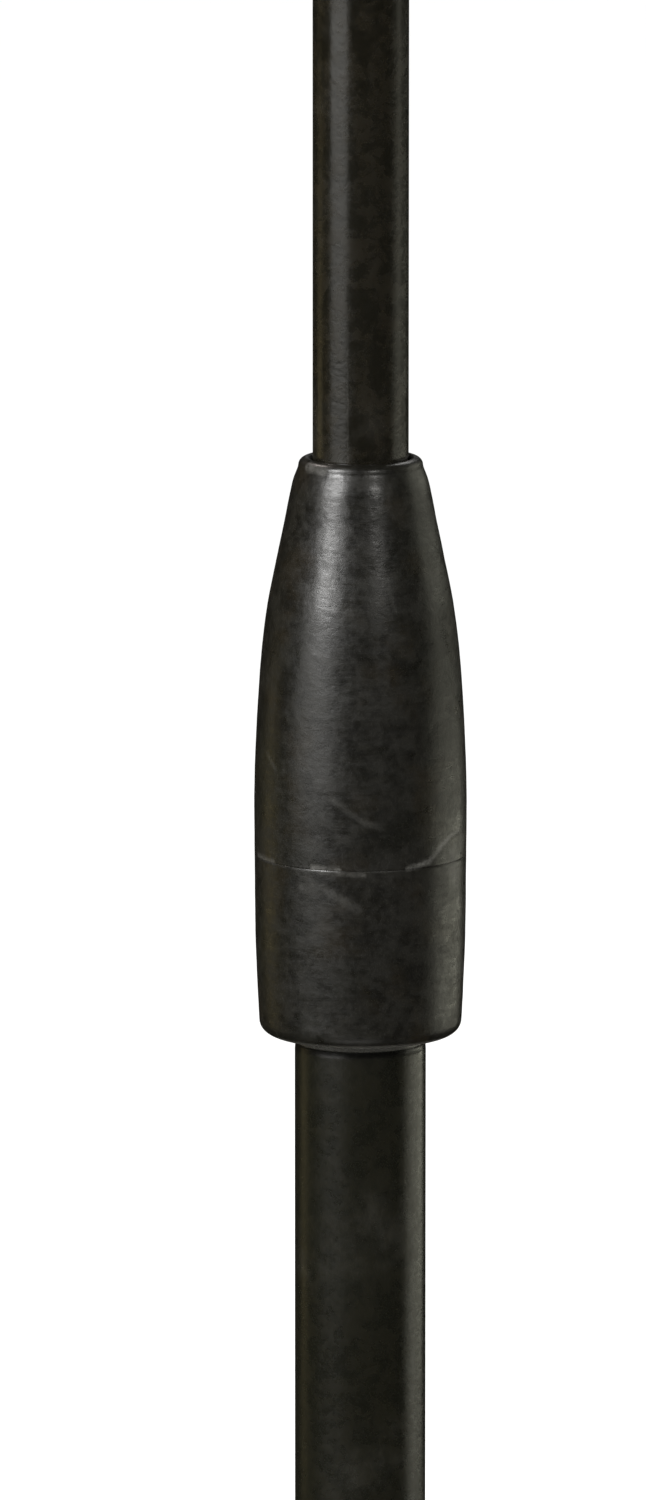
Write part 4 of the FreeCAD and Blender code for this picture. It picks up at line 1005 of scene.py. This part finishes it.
def card(name, azimuth, elevation, distance, wide, tall, watts, color=(1, 1, 1), at=(0, 0, 0.62), spread=180):
    """A soft box. Azimuth is measured from the player's side towards +X."""
    a, e = math.radians(azimuth), math.radians(elevation)
    light = bpy.data.lights.new(name, "AREA")
    light.shape = "RECTANGLE"
    light.size, light.size_y = wide, tall
    light.energy = watts
    light.color = color
    light.spread = math.radians(spread)
    o = bpy.data.objects.new(name, light)
    o.location = Vector(at) + distance * Vector((math.sin(a) * math.cos(e), -math.cos(a) * math.cos(e), math.sin(e)))
    bpy.context.scene.collection.objects.link(o)
    aim(o, at)
    o.visible_camera = False
    return o


card("key", -47, 25, 1.9, 0.62, 0.78, 36.5, (1.0, 0.995, 0.99))
card("fill", 26, 26, 2.2, 0.24, 0.34, 6.5, (1.0, 0.98, 0.94))
card("rim_high", 119, 14, 2.0, 1.75, 0.9, 4.5, (1.0, 0.99, 0.82))
card("rim_mid", 104, -5, 2.0, 0.62, 0.26, 0.20, (1.0, 0.97, 0.80))
card("rim_low", 112, -13, 2.0, 2.0, 0.20, 2.5, (1.0, 0.99, 0.80))
card("rim_foot", 105, -19, 2.0, 0.70, 0.30, 0.52, (1.0, 0.98, 0.84))
card("behind", 166, 42, 2.6, 1.3, 1.0, 16.0, (1.0, 0.99, 0.97), at=(0, 0, 0.75))
card("tube_strip", -54, -2.0, 1.9, 1.50, 0.32, 3.4, (1.0, 0.99, 0.95))
card("left", -116, -11, 1.7, 0.55, 0.30, 0.30, (1.0, 0.82, 0.42))
card("lip", -118, 46, 1.7, 0.26, 0.26, 7.0, (1.0, 0.90, 0.85), at=(0, 0, 0.66))
card("under", -10, -52, 0.75, 0.5, 0.3, 0.35, (1.0, 0.99, 0.96))
card("top", 10, 78, 3.0, 1.6, 1.6, 18.0, (1.0, 1.0, 1.0), at=(0, 0, 0.9))

world = bpy.data.worlds.new("pale")
bpy.context.scene.world = world
world.use_nodes = True
nt = world.node_tree
nt.nodes.clear()
out = nt.nodes.new("ShaderNodeOutputWorld")
sky = nt.nodes.new("ShaderNodeBackground")
soft = nt.nodes.new("ShaderNodeBackground")
mixer = nt.nodes.new("ShaderNodeMixShader")
path = nt.nodes.new("ShaderNodeLightPath")
sky.inputs["Color"].default_value = (0.97, 0.97, 0.96, 1)
sky.inputs["Strength"].default_value = 1.14
soft.inputs["Color"].default_value = (0.97, 0.94, 0.80, 1)
soft.inputs["Strength"].default_value = 0.019
nt.links.new(path.outputs["Is Glossy Ray"], mixer.inputs[0])
nt.links.new(sky.outputs[0], mixer.inputs[1])
nt.links.new(soft.outputs[0], mixer.inputs[2])
nt.links.new(mixer.outputs[0], out.inputs["Surface"])

cam = bpy.data.cameras.new("camera")
cam.sensor_fit = "AUTO"
cam.sensor_width = 36.0
DIST = 2.2
cam.lens = 36.0 * DIST / 0.2508
cam.clip_end = 400.0
cam.clip_start = 0.05
camera = bpy.data.objects.new("camera", cam)
target = Vector((-0.00627, 0.0, 0.6102))
camera.location = target + DIST * Vector((0, -math.cos(math.radians(10)), math.sin(math.radians(10))))
bpy.context.scene.collection.objects.link(camera)
aim(camera, target)
bpy.context.scene.camera = camera
bpy.context.scene.view_settings.view_transform = "Standard"
bpy.context.scene.view_settings.look = "None"

bpy.context.view_layer.update()
